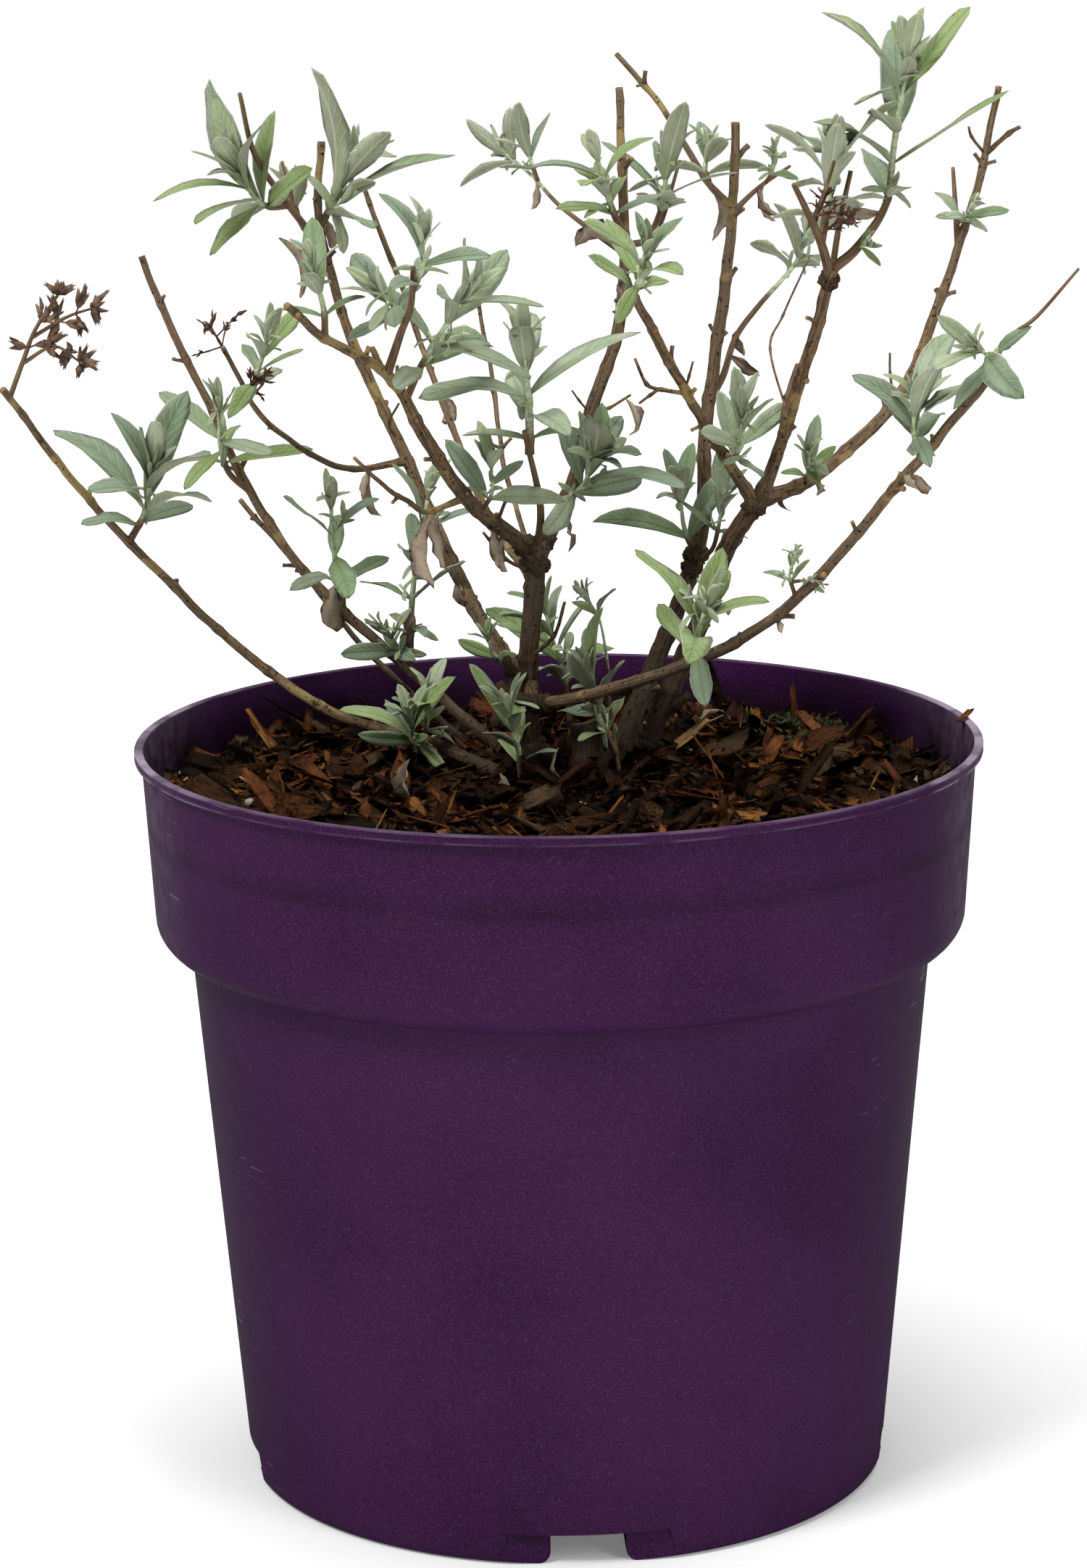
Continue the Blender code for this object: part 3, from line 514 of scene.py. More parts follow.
LimbRow = namedtuple("LimbRow", "start runs foot tip")
TwigRow = namedtuple("TwigRow", "start runs girth bare pairs leaf seed")
LeafPose = namedtuple("LeafPose", "root ahead across turn opening length arch up")

soilHeight = 190.0
sownDepth = 3.0

limbs = {
    "trunk": LimbRow((-7, 25), [(-1, -1, 30), (3, 0, 36)], 5.8, 5.2),
    "stem_right_back": LimbRow(
        (14, 28), [(16, 10, 36), (10, 4, 28), (2, 5, 29), (6, 7, 42), (2, 4, 18), (1, 4, 24)], 5.6, 2.3
    ),
    "stem_right": LimbRow((22, 43), [(16, -11, 38), (10, -7, 28), (9, -7, 15)], 5.8, 5.0),
    "cane_left_low": LimbRow(
        (-10, 14), [(-24, 14, 9), (-27, 12, 6), (-27, 8, 17), (-30, -10, 33), (-15, -12, 21), (-15, -20, 27)],
        3.2, 1.9,
    ),
    "cane_left": LimbRow(
        (-11, 40), [(-24, 12, 19), (-34, 14, 30), (-18, 8, 25), (-12, 4, 26), (-11, 2, 23), (-6, 0, 17)],
        3.2, 2.0,
    ),
    "cane_left_thin": LimbRow((-20, 48), [(-31, 18, 25), (-23, 20, 24), (-17, 12, 18)], 1.9, 1.5),
    "bough_left_back": LimbRow(
        ("trunk", 24), [(-15, 22, 20), (-10, 12, 19), (-12, 10, 27), (-13, 10, 28), (-8, 6, 31), (1, 2, 22)],
        4.6, 2.0,
    ),
    "bough_right_low": LimbRow(
        ("trunk", 27), [(5, -16, -2), (34, -24, 14), (29, -24, 21), (30, -26, 40), (19, -14, 26)], 3.4, 2.4
    ),
    "bough_left_front": LimbRow(
        ("trunk", 63), [(-18, -22, 19), (-11, -16, 20), (-9, -16, 19), (-15, -20, 12), (-9, -16, 11)],
        4.6, 2.0,
    ),
    "bough_centre": LimbRow(
        ("trunk", 63), [(10, 6, 18), (5, 2, 19), (8, 4, 23), (2, 4, 23), (-1, 10, 42)], 4.4, 2.1
    ),
    "cane_back_thin": LimbRow(
        ("trunk", 55), [(-14, 24, 18), (-13, 24, 30), (-12, 26, 30), (-9, 14, 22)], 2.2, 1.5
    ),
    "cane_back_short": LimbRow(("trunk", 59), [(-8, 29, 22), (-4, 26, 26), (-4, 16, 18)], 1.6, 1.2),
    "twig_left_thin": LimbRow(
        ("bough_left_back", 81), [(-14, -8, -1), (-12, -10, 6), (-13, -12, 13), (-5, -10, 12), (-4, -6, 9)],
        2.0, 1.3,
    ),
    "twig_left_dead": LimbRow(
        ("bough_left_front", 36), [(-10, -11, -2), (-6, -10, 5), (-6, -12, 7), (-6, -10, 8)], 1.8, 1.0
    ),
    "bough_top_middle": LimbRow(("stem_right_back", 162), [(-8, 14, 9), (-10, 16, 16), (-13, 10, 15)], 2.0, 1.5),
    "bough_right_tall": LimbRow(
        ("stem_right", 89), [(15, 9, 4), (22, 18, 16), (12, 12, 20), (14, 12, 37), (7, 8, 29)], 4.0, 1.8
    ),
    "bough_right": LimbRow(("stem_right", 89), [(4, -8, 12), (9, -24, 37), (4, -14, 19)], 3.6, 3.1),
    "bough_right_inner": LimbRow(("stem_right", 87), [(-10, -14, 17), (-10, -18, 19), (-15, -32, 31)], 3.2, 2.2),
    "old_stump": LimbRow((8, 13), [(0, 2, 8), (-1, 2, 9)], 9.5, 7.0),
}

masses = {
    "foliage_left_low": ("cane_left_low", [TwigRow(139, [(5, -2, 9), (2, -4, 10)], 2.0, 0.3, 5, 31, 3950)]),
    "seedhead_left": ("cane_left_low", [
        TwigRow(200, [(4, 0, 10), (4, -3, 9), (7, -3, 10)], 1.4, 0.45, 3, 9, 11),
        TwigRow(0.30, [(9, -3, 5), (7, -2, -4)], 1.1, 0.5, 2, 8, 2328),
        TwigRow(0.55, [(9, 2, 5), (7, 3, 2)], 1.1, 0.5, 2, 8, 377),
    ]),
    "foliage_left_middle": ("cane_left", [
        TwigRow(111, [(-6, -2, 6), (-2, -3, 8), (0, -3, 9)], 1.9, 0.45, 3, 31, 1119),
    ]),
    "foliage_left_inner": ("twig_left_thin", [TwigRow(63, [(3, -3, 9), (2, -2, 6)], 1.8, 0.2, 4, 22, 962)]),
    "foliage_left_high": ("bough_left_back", [
        TwigRow(142, [(-5, -3, 9), (-7, -8, 11), (-7, -8, 13), (-3, -8, 17)], 2.2, 1, 0, 0, 1),
        TwigRow(0.36, [(-5, -4, 0), (-4, -4, 3), (-3, -2, 6)], 2.0, 0.35, 4, 36, 5821),
    ]),
    "foliage_left_crown": ("bough_left_back", [TwigRow(152, [(3, 2, 6), (4, 2, 8)], 2.0, 0.25, 4, 36, 1092)]),
    "foliage_left_stub": ("bough_left_back", [
        TwigRow(146, [(-7, 4, 7), (-5, 4, 17)], 1.8, 1, 0, 0, 1),
        TwigRow(0.40, [(-2, 4, 7)], 1.3, 0.4, 2, 16, 432),
    ]),
    "foliage_front_left_tip": ("bough_left_front", [
        TwigRow(117, [(0, -3, 8), (-2, -3, 9)], 1.8, 0.35, 3, 20, 322),
    ]),
    "foliage_front_left_twigs": ("bough_left_front", [
        TwigRow(89, [(4, -11, 12), (3, -8, 8), (1, -8, 11)], 2.4, 1, 0, 0, 1),
        TwigRow(0.80, [(3, -3, 7), (0, -2, 5)], 1.6, 0.2, 3, 25, 1003),
        TwigRow(0.50, [(-2, -3, 4), (-3, -2, 4)], 1.5, 0.3, 3, 22, 856),
    ]),
    "foliage_front_left_low": ("bough_left_front", [
        TwigRow(77, [(6, -7, 13), (9, -6, 14)], 1.9, 0.35, 4, 34, 4890),
    ]),
    "foliage_centre_front": ("trunk", [
        TwigRow(64, [(1, -16, 16), (-4, -20, 23)], 2.3, 1, 0, 0, 1),
        TwigRow(0.82, [(0, -3, 12), (-1, -3, 16)], 2.4, 0.15, 5, 31, 1266),
    ]),
    "foliage_left_fork": ("bough_left_front", [TwigRow(28, [(3, -6, 6), (0, -3, 7)], 1.5, 0.35, 2, 26, 49)]),
    "foliage_left_tall": ("cane_left", [
        TwigRow(42, [(1, -3, 20), (2, -2, 15), (3, -2, 15)], 1.9, 0.22, 5, 23, 1603),
        TwigRow(0.10, [(-4, -5, 3), (-1, -2, 3)], 1.5, 0.3, 2, 24, 5603),
    ]),
    "foliage_left_lower": ("cane_left", [
        TwigRow(70, [(0, -4, 10), (-1, -3, 10), (0, -2, 9)], 1.9, 0.25, 4, 25, 1475),
    ]),
    "foliage_back_top": ("bough_centre", [
        TwigRow(87, [(-8, 8, 5), (-10, 10, 7), (-7, 8, 7), (-7, 8, 5)], 1.8, 0.93, 2, 25, 800),
        TwigRow(0.72, [(-3, 2, 9)], 1.3, 0.4, 3, 16, 4429),
    ]),
    "foliage_centre_left": ("bough_centre", [TwigRow(93, [(-3, -4, 6), (-4, -4, 14)], 2.0, 0.3, 4, 20, 1648)]),
    "foliage_centre_right": ("bough_centre", [
        TwigRow(89, [(9, 8, 3), (7, 14, 18)], 1.9, 1, 0, 0, 1),
        TwigRow(0.30, [(3, 2, 8), (1, 2, 9)], 1.9, 0.35, 4, 28, 189),
    ]),
    "foliage_inner_front": ("bough_right_inner", [TwigRow(97, [(2, -4, 5), (1, -3, 6)], 1.9, 0.1, 4, 25, 1071)]),
    "foliage_top_middle": ("bough_top_middle", [TwigRow(14, [(-1, 3, 3), (1, 2, 5)], 1.6, 0.25, 3, 21, 697)]),
    "foliage_top_fork": ("stem_right_back", [
        TwigRow(161, [(8, 10, 6), (9, 8, 5)], 1.9, 1, 0, 0, 1),
        TwigRow(0.62, [(2, -3, 4), (0, -2, 5)], 1.2, 0.3, 3, 11, 4468),
    ]),
    "foliage_top_right": ("bough_right", [
        TwigRow(84, [(7, 6, 5), (8, 10, 10), (2, 0, 15), (3, -2, 21)], 2.7, 0.45, 5, 32, 3937),
        TwigRow(0.16, [(2, -4, 1)], 1.1, 0.4, 2, 10, 3927),
    ]),
    "foliage_right_crown": ("bough_right", [
        TwigRow(81, [(-3, -10, 10), (-5, -12, 11), (-3, -6, 6)], 2.5, 1, 0, 0, 1),
        TwigRow(0.35, [(2, 4, 10), (1, 4, 10)], 2.0, 0.35, 4, 28, 2960),
    ]),
    "foliage_right_twig": ("stem_right_back", [
        TwigRow(109, [(4, 5, 6), (4, 12, 9), (7, 8, 8), (11, 14, 10), (3, 4, 7)], 1.9, 0.84, 4, 21, 2141),
    ]),
    "foliage_tall_right": ("bough_right_tall", [
        TwigRow(102, [(-1, 7, 22)], 1.8, 1, 0, 0, 1),
        TwigRow(0.30, [(3, -4, 4)], 1.3, 0.3, 3, 13, 5),
    ]),
    "foliage_inner_right": ("bough_right_inner", [TwigRow(18, [(3, -6, 7), (0, -3, 7)], 2.0, 0.2, 4, 22, 5538)]),
    "foliage_right_low": ("bough_right_tall", [TwigRow(15, [(1, -5, 4), (0, -2, 4)], 1.4, 0.3, 3, 14, 5795)]),
    "foliage_right_stem": ("stem_right_back", [
        TwigRow(64, [(5, -6, 4), (2, -3, 8), (1, -2, 7)], 1.8, 0.6, 3, 20, 5046),
    ]),
    "foliage_centre_low": ("stem_right_back", [TwigRow(66, [(-3, -6, 8), (-1, -3, 7)], 1.8, 0.35, 2, 32, 1357)]),
    "foliage_centre": ("bough_centre", [TwigRow(17, [(5, -5, 5), (2, -3, 6)], 2.0, 0.25, 4, 31, 2391)]),
    "foliage_right_front": ("bough_right_low", [TwigRow(165, [(-2, -4, 7), (0, -2, 7)], 1.9, 0.35, 4, 27, 932)]),
    "foliage_right_tip": ("bough_right_low", [
        TwigRow(190, [(7, -2, 13), (7, -2, 6), (10, -2, 12)], 1.3, 1, 0, 0, 1),
        TwigRow(0.22, [(-4, -5, 3)], 1.5, 0.2, 3, 21, 4353),
    ]),
    "foliage_right_sprig": ("bough_right_low", [
        TwigRow(108, [(-2, -4, 7), (1, -1, 3)], 1.2, 0.5, 2, 11, 1278),
        TwigRow(0.50, [(5, -2, 1)], 1.0, 0.5, 2, 9, 570),
    ]),
    "foliage_low_right": ("bough_right_low", [TwigRow(69, [(0, -5, 7), (2, -3, 7)], 2.3, 0.15, 4, 29, 3442)]),
    "foliage_low_left": ("cane_left_low", [
        TwigRow(31, [(-5, -6, 2), (0, -2, 5)], 1.6, 0.35, 3, 22, 4742),
        TwigRow(0.30, [(2, -2, 6), (0, -1, 7)], 1.4, 0.3, 3, 17, 3815),
    ]),
    "foliage_low_front": (None, [
        TwigRow((-10, 6), [(-1, -2, 13), (-1, -2, 5), (-1, -1, 5)], 1.8, 0.35, 4, 22, 1713),
    ]),
    "foliage_left_foot": ("bough_left_back", [TwigRow(13, [(-4, -7, 3), (-1, -3, 5)], 1.4, 0.35, 2, 15, 5684)]),
    "foliage_low_centre": (None, [
        TwigRow((17, 16), [(-3, 3, 25), (0, 1, 6), (-2, 2, 13), (-3, 1, 6)], 1.2, 0.92, 2, 14, 3440),
        TwigRow(0.16, [(-5, -3, 12), (-2, -2, 10)], 1.8, 0.3, 4, 25, 5930),
    ]),
    "foliage_low_back": (None, [
        TwigRow((4, 62), [(-2, -2, 22), (-3, -2, 10), (-2, -2, 8)], 1.5, 0.45, 4, 24, 5025),
    ]),
}

# Routes

def smoothPath(joints, step):
    # points about a step apart on a rounded line through the joints
    ends = [2 * joints[0] - joints[1], *joints, 2 * joints[-1] - joints[-2]]
    path = [joints[0]]
    for a, b, c, d in zip(ends, ends[1:], ends[2:], ends[3:]):
        pieces = max(1, round((c - b).length / step))
        for i in range(1, pieces + 1):
            t = i / pieces
            bend = (2 * a - 5 * b + 4 * c - d) * t**2 + (3 * b - a - 3 * c + d) * t**3
            path.append(0.5 * (2 * b + (c - a) * t + bend))
    return path


def lengthsAlong(path):
    reached = [0.0]
    for a, b in zip(path, path[1:]):
        reached.append(reached[-1] + (b - a).length)
    return reached


def pointAlong(path, distance):
    reached = lengthsAlong(path)
    for i in range(1, len(path)):
        if reached[i] >= distance or i == len(path) - 1:
            t = (distance - reached[i - 1]) / (reached[i] - reached[i - 1])
            return path[i - 1].lerp(path[i], min(t, 1))


def headingAlong(path, distance):
    return (pointAlong(path, distance + 2) - pointAlong(path, distance - 2)).normalized()


def jointsFrom(start, runs):
    joints = [Vector(start)]
    for run in runs:
        joints.append(joints[-1] + Vector(run))
    return joints


def routeLimbs():
    # each limb's joints and its coarse route, a parent before its boughs
    joints = {}
    routes = {}
    for name, row in limbs.items():
        if isinstance(row.start[0], str):
            start = pointAlong(routes[row.start[0]], row.start[1])
        else:
            start = Vector((*row.start, soilHeight - sownDepth))
        joints[name] = jointsFrom(start, row.runs)
        routes[name] = smoothPath(joints[name], 14.0)
    return joints, routes


def framesAlong(path):
    # across, aside and ahead at each point, never twisted
    frames = []
    across = None
    for i in range(len(path)):
        ahead = (path[min(i + 1, len(path) - 1)] - path[max(i - 1, 0)]).normalized()
        if across is None:
            across = ahead.orthogonal().normalized()
        across = (across - across.dot(ahead) * ahead).normalized()
        frames.append((across, ahead.cross(across), ahead))
    return frames


# Shapes as arrays, so that hundreds of them join into one mesh

Shape = namedtuple("Shape", "points corners sizes slots chart grain growth")


def shapeFrom(bm, slots=None, chart=None):
    mesh = bpy.data.meshes.new("shape")
    bm.to_mesh(mesh)
    bm.free()
    points = np.empty(len(mesh.vertices) * 3)
    mesh.vertices.foreach_get("co", points)
    corners = np.empty(len(mesh.loops), dtype=int)
    mesh.loops.foreach_get("vertex_index", corners)
    sizes = np.empty(len(mesh.polygons), dtype=int)
    mesh.polygons.foreach_get("loop_total", sizes)
    kept = np.zeros(len(mesh.polygons), dtype=int)
    mesh.polygons.foreach_get("material_index", kept)
    grain = np.zeros(len(mesh.vertices) * 3)
    if "grain" in mesh.attributes:
        mesh.attributes["grain"].data.foreach_get("vector", grain)
    growth = np.zeros(len(mesh.vertices))
    if "growth" in mesh.attributes:
        mesh.attributes["growth"].data.foreach_get("value", growth)
    bpy.data.meshes.remove(mesh)
    map2 = np.zeros((len(corners), 2)) if chart is None else chart[corners]
    return Shape(points.reshape(-1, 3), corners, sizes, kept if slots is None else slots, map2,
                 grain.reshape(-1, 3), growth)


def joinShapes(name, shapes):
    mesh = bpy.data.meshes.new(name)
    points = np.concatenate([s.points for s in shapes]) * mm
    firsts = np.cumsum([0] + [len(s.points) for s in shapes[:-1]])
    corners = np.concatenate([s.corners + first for s, first in zip(shapes, firsts)])
    sizes = np.concatenate([s.sizes for s in shapes])
    mesh.vertices.add(len(points))
    mesh.vertices.foreach_set("co", points.ravel())
    mesh.loops.add(len(corners))
    mesh.loops.foreach_set("vertex_index", corners)
    mesh.polygons.add(len(sizes))
    mesh.polygons.foreach_set("loop_start", np.concatenate([[0], np.cumsum(sizes)[:-1]]))
    mesh.polygons.foreach_set("material_index", np.concatenate([s.slots for s in shapes]))
    chart = mesh.uv_layers.new(name="leafMap")
    chart.data.foreach_set("uv", np.concatenate([s.chart for s in shapes]).ravel())
    grain = mesh.attributes.new("grain", "FLOAT_VECTOR", "POINT")
    grain.data.foreach_set("vector", np.concatenate([s.grain for s in shapes]).ravel())
    growth = mesh.attributes.new("growth", "FLOAT", "POINT")
    growth.data.foreach_set("value", np.concatenate([s.growth for s in shapes]))
    mesh.update(calc_edges=True)
    obj = bpy.data.objects.new(name, mesh)
    scene.collection.objects.link(obj)
    return obj


def wrapTube(path, radii, sides, relief, growth=(0, 0), capSlot=0, twist=0.0):
    # a grid wrapped round the path, closed along its seam and over both ends
    rings = len(path)
    bm = bmesh.new()
    bmesh.ops.create_grid(bm, x_segments=sides, y_segments=rings - 1, size=1)
    grain = bm.verts.layers.float_vector.new("grain")
    grown = bm.verts.layers.float.new("growth")
    reached = lengthsAlong(path)
    frames = framesAlong(path)
    for v in bm.verts:
        i = round((v.co.x + 1) / 2 * sides) % sides
        j = round((v.co.y + 1) / 2 * (rings - 1))
        turn = math.tau * i / sides + twist * reached[j]
        across, aside, ahead = frames[j]
        c, s = math.cos(turn), math.sin(turn)
        radius = radii[j] * relief(c, s, reached[j], radii[j])
        v.co = path[j] + (c * across + s * aside) * radius
        v[grain] = (c * radii[j], s * radii[j], reached[j])
        v[grown] = growth[0] + (growth[1] - growth[0]) * reached[j] / reached[-1]
    bmesh.ops.remove_doubles(bm, verts=bm.verts, dist=0.001)
    caps = bmesh.ops.holes_fill(bm, edges=bm.edges, sides=0)
    for face in caps["faces"]:
        face.material_index = capSlot
    bmesh.ops.recalc_face_normals(bm, faces=bm.faces)
    return shapeFrom(bm)


# Bark

bark = {
    "ringStep": 1.0,
    "sides": 16,
    "thinSides": 10,
    "thinBelow": 2.6,  # girth at the foot
    "flare": 1.36,
    "flareHeight": 4.5,
    "collar": 0.30,  # swelling where a bough leaves its parent
    "collarLength": 3.0,
    "ridge": 0.13,
    "furrow": 0.10,
    "nodeGap": 17.0,
    "nodeSwell": 0.20,
    "nodeLength": 1.3,
    "wobble": 0.45,
    "wobbleLength": 11.0,
    "oldGirth": 3.0,
    "youngFrom": 5.6,  # girths between which the bark turns from old to young
    "youngTo": 2.0,
    "oldColour": "69513b",
    "oldDark": "22180f",
    "oldPale": "9c8364",
    "youngColour": "876c4f",
    "youngDark": "4f3c2a",
    "youngPale": "b09874",
    "greyColour": "6d6252",
    "peelColour": "b7a066",
    # painted shade at the foot of the stems, from the soil up
    "crackColour": "1e1610",
    "footShadeColour": "1b140e",
    "footShadeFrom": 190.0,
    "footShadeTo": 214.0,
    "cutColour": "94784f",
    "stubShare": 0.42,  # of the nodes, that keep a broken side shoot
    "stubLength": (1.2, 4.2),
    "stubGirth": (0.9, 1.7),
}


def barkMaterial():
    material, tree, shader = newMaterial("stripedBark", 0.82)
    growth = addNode(tree, "ShaderNodeAttribute", attribute_name="growth")
    streaks = useGroup(tree, fibre, Across=2.2, Along=0.09)
    fine = useGroup(tree, fibre, Across=6.5, Along=0.40)
    uneven = maths(tree, "ADD", growth.outputs["Fac"],
                   maths(tree, "MULTIPLY", maths(tree, "SUBTRACT", streaks.outputs["Fleck"], 0.5), 0.8))
    young = ramp(tree, uneven, 0.1, 0.8)
    mix = ramp(tree, streaks.outputs["Streak"], 0.40, 0.56)
    old = blendColour(tree, mix, linear(bark["oldDark"]), linear(bark["oldColour"]))
    fresh = blendColour(tree, mix, linear(bark["youngDark"]), linear(bark["youngColour"]))
    tone = blendColour(tree, young, old, fresh)
    pale = blendColour(tree, young, linear(bark["oldPale"]), linear(bark["youngPale"]))
    high = maths(tree, "MULTIPLY", ramp(tree, fine.outputs["Streak"], 0.48, 0.70), 0.7)
    tone = blendColour(tree, high, tone, pale)
    broad = useGroup(tree, mottle, Scale=24.0, Low=0.36, High=0.60)
    tone = blendColour(tree, maths(tree, "MULTIPLY", broad.outputs[0], 0.45), tone, linear(bark["greyColour"]))
    patch = useGroup(tree, mottle, Scale=55.0, Low=0.56, High=0.61)
    peeled = maths(tree, "MULTIPLY", patch.outputs[0], maths(tree, "MULTIPLY", young, 0.6))
    tone = blendColour(tree, peeled, tone, linear(bark["peelColour"]))
    crack = ramp(tree, streaks.outputs["Fleck"], 0.30, 0.42)
    tone = blendColour(tree, crack, linear(bark["crackColour"]), tone)
    # painted shade: darker towards the soil, and on the old stool
    place = addNode(tree, "ShaderNodeTexCoord")
    height = addNode(tree, "ShaderNodeSeparateXYZ", sockets={0: place.outputs["Object"]}).outputs[2]
    footShade = maths(tree, "SUBTRACT", 1.0, ramp(tree, height, bark["footShadeFrom"] * mm, bark["footShadeTo"] * mm))
    stoolShade = maths(tree, "SUBTRACT", 1.0, ramp(tree, growth.outputs["Fac"], -0.6, 0.0))
    tone = blendColour(tree, maths(tree, "MULTIPLY", maths(tree, "MAXIMUM", footShade, stoolShade), 0.75), tone,
                       linear(bark["footShadeColour"]))
    tree.links.new(tone, shader.inputs["Base Color"])
    relief = maths(tree, "ADD", streaks.outputs["Streak"], maths(tree, "MULTIPLY", fine.outputs["Streak"], 0.5))
    bump = addNode(tree, "ShaderNodeBump", sockets={"Strength": 1.0, "Distance": 0.0009, "Height": relief})
    tree.links.new(bump.outputs[0], shader.inputs["Normal"])
    return material


def cutWood():
    material, tree, shader = newMaterial("splitWood", 0.8)
    fine = useGroup(tree, fibre, Across=6.0, Along=0.5)
    tone = blendColour(tree, fine.outputs["Streak"], linear("7c5c3a"), linear(bark["cutColour"]))
    tree.links.new(tone, shader.inputs["Base Color"])
    return material


def barkRelief(offset, ridge, furrow, nodeGap):
    # radius share at a place round and along a limb: ridges, furrows and swollen nodes
    def relief(c, s, along, radius):
        broad = noise.noise(Vector((c * 1.6, s * 1.6, along * 0.07)) + offset)
        fine = noise.noise(Vector((c * radius * 2.2, s * radius * 2.2, along * 0.35)) + offset)
        fromNode = (along + offset.x) % nodeGap - nodeGap / 2
        swell = math.exp(-((fromNode / bark["nodeLength"]) ** 2)) * bark["nodeSwell"] * (0.6 + 0.4 * c * c)
        return 1 + ridge * broad + furrow * fine + swell
    return relief


def wander(path, offset, amount, length):
    # small bends off the route, none at its foot
    moved = []
    for point, reached in zip(path, lengthsAlong(path)):
        ease = min(1, reached / length)
        sway = noise.noise_vector(point / length + offset)
        moved.append(point + sway * amount * ease)
    return moved


def limbRadius(row, share, height):
    radius = 0.5 * (row.foot + (row.tip - row.foot) * share)
    if isinstance(row.start[0], str):
        return radius
    lift = max(0.0, height - soilHeight)
    return radius * (1 + (bark["flare"] - 1) * math.exp(-lift / bark["flareHeight"]))


def youth(girth):
    return (bark["youngFrom"] - girth) / (bark["youngFrom"] - bark["youngTo"])


def stubsAlong(path, radii, nodeGap, offset, dice, growth):
    # broken remains of old side shoots, in pairs at the nodes
    found = []
    reached = lengthsAlong(path)
    frames = framesAlong(path)
    first = nodeGap / 2 - offset.x % nodeGap
    spots = [first + i * nodeGap for i in range(40) if 6 < first + i * nodeGap < reached[-1] - 2]
    for i, spot in enumerate(spots):
        j = min(range(len(reached)), key=lambda k: abs(reached[k] - spot))
        across, aside, ahead = frames[j]
        for side in (0, 180):
            if dice.random() > bark["stubShare"]:
                continue
            turn = math.radians(90 * (i % 2) + side + dice.uniform(-20, 20))
            outward = math.cos(turn) * across + math.sin(turn) * aside
            lean = (outward + ahead * dice.uniform(0.5, 1.4)).normalized()
            long = dice.uniform(*bark["stubLength"])
            girth = dice.uniform(*bark["stubGirth"]) * min(1, radii[j])
            route = [path[j] + outward * radii[j] * 0.4]
            for k in range(1, 4):
                sway = Vector([dice.uniform(-0.15, 0.15) for _ in range(3)])
                route.append(route[-1] + (lean + sway) * (long + radii[j] * 0.5) / 3)
            sizes = [girth * 0.8, girth * 0.55, girth * 0.5, girth * 0.56]
            found.append(wrapTube(route, sizes, 6, lambda c, s, d, r: 1, (growth, growth), capSlot=1))
    return found


def makeLimbs(joints):
    dice = random.Random(5)
    old, young, paths = [], [], {}
    for name, row in limbs.items():
        path = smoothPath(joints[name], bark["ringStep"])
        offset = Vector([dice.uniform(0, 90) for _ in range(3)])
        path = wander(path, offset, bark["wobble"], bark["wobbleLength"])
        reached = lengthsAlong(path)
        radii = [limbRadius(row, d / reached[-1], p.z) for d, p in zip(reached, path)]
        if isinstance(row.start[0], str):
            buried = limbs[row.start[0]].foot / 2
            radii = [r * (1 + bark["collar"] * math.exp(-max(0, d - buried) / bark["collarLength"]))
                     for r, d in zip(radii, reached)]
        thick = row.foot > bark["thinBelow"]
        nodeGap = bark["nodeGap"] * dice.uniform(0.8, 1.2)
        relief = barkRelief(offset, bark["ridge"], bark["furrow"], nodeGap)
        # the old stump takes a growth below nought, which darkens it with painted shade
        growth = (youth(row.foot), youth(row.tip)) if name != "old_stump" else (-1, -1)
        kept = old if row.foot > bark["oldGirth"] else young
        kept.append(wrapTube(path, radii, bark["sides"] if thick else bark["thinSides"], relief, growth, capSlot=1))
        if name not in ("trunk", "old_stump"):
            kept += stubsAlong(path, radii, nodeGap, offset, dice, sum(growth) / 2)
        paths[name] = path
    oldNodes = [n for n, row in limbs.items() if row.foot > bark["oldGirth"]]
    youngNodes = [n for n, row in limbs.items() if row.foot <= bark["oldGirth"]]
    skins = [barkMaterial(), cutWood()]
    finishPiece(joinShapes("oldWood", old), oldNodes, skins)
    finishPiece(joinShapes("thinWood", young), youngNodes, skins)
    return paths


# Twigs that carry the leaves

twigs = {
    "ringStep": 1.6,
    "sides": 8,
    "thinning": 0.5,  # share of the girth lost by the tip
    "corner": 0.10,  # young stems are four-angled
    "nodeSwell": 0.22,
    "woodColour": "7d654a",
    "woodDark": "4c3c2d",
    "greenColour": "9fae84",
    "greenPale": "c3cdae",
}


def twigSkin():
    material, tree, shader = newMaterial("twigSkin", 0.75)
    growth = addNode(tree, "ShaderNodeAttribute", attribute_name="growth")
    streaks = useGroup(tree, fibre, Across=4.0, Along=0.16)
    wood = blendColour(tree, ramp(tree, streaks.outputs["Streak"], 0.35, 0.62), linear(twigs["woodDark"]),
                       linear(twigs["woodColour"]))
    green = blendColour(tree, ramp(tree, streaks.outputs["Fleck"], 0.4, 0.6), linear(twigs["greenColour"]),
                        linear(twigs["greenPale"]))
    uneven = maths(tree, "ADD", growth.outputs["Fac"],
                   maths(tree, "MULTIPLY", maths(tree, "SUBTRACT", streaks.outputs["Fleck"], 0.5), 0.3))
    tone = blendColour(tree, ramp(tree, uneven, 0.28, 0.72), wood, green)
    tree.links.new(tone, shader.inputs["Base Color"])
    bump = addNode(tree, "ShaderNodeBump",
                   sockets={"Strength": 0.6, "Distance": 0.0003, "Height": streaks.outputs["Streak"]})
    tree.links.new(bump.outputs[0], shader.inputs["Normal"])
    return material


def twigPath(row, limbPath, stemPath):
    if isinstance(row.start, tuple):
        start = Vector((*row.start, soilHeight - sownDepth))
    elif stemPath:
        start = pointAlong(stemPath, row.start * lengthsAlong(stemPath)[-1])
    else:
        start = pointAlong(limbPath, row.start)
    return start, smoothPath(jointsFrom(start, row.runs), 9.0)


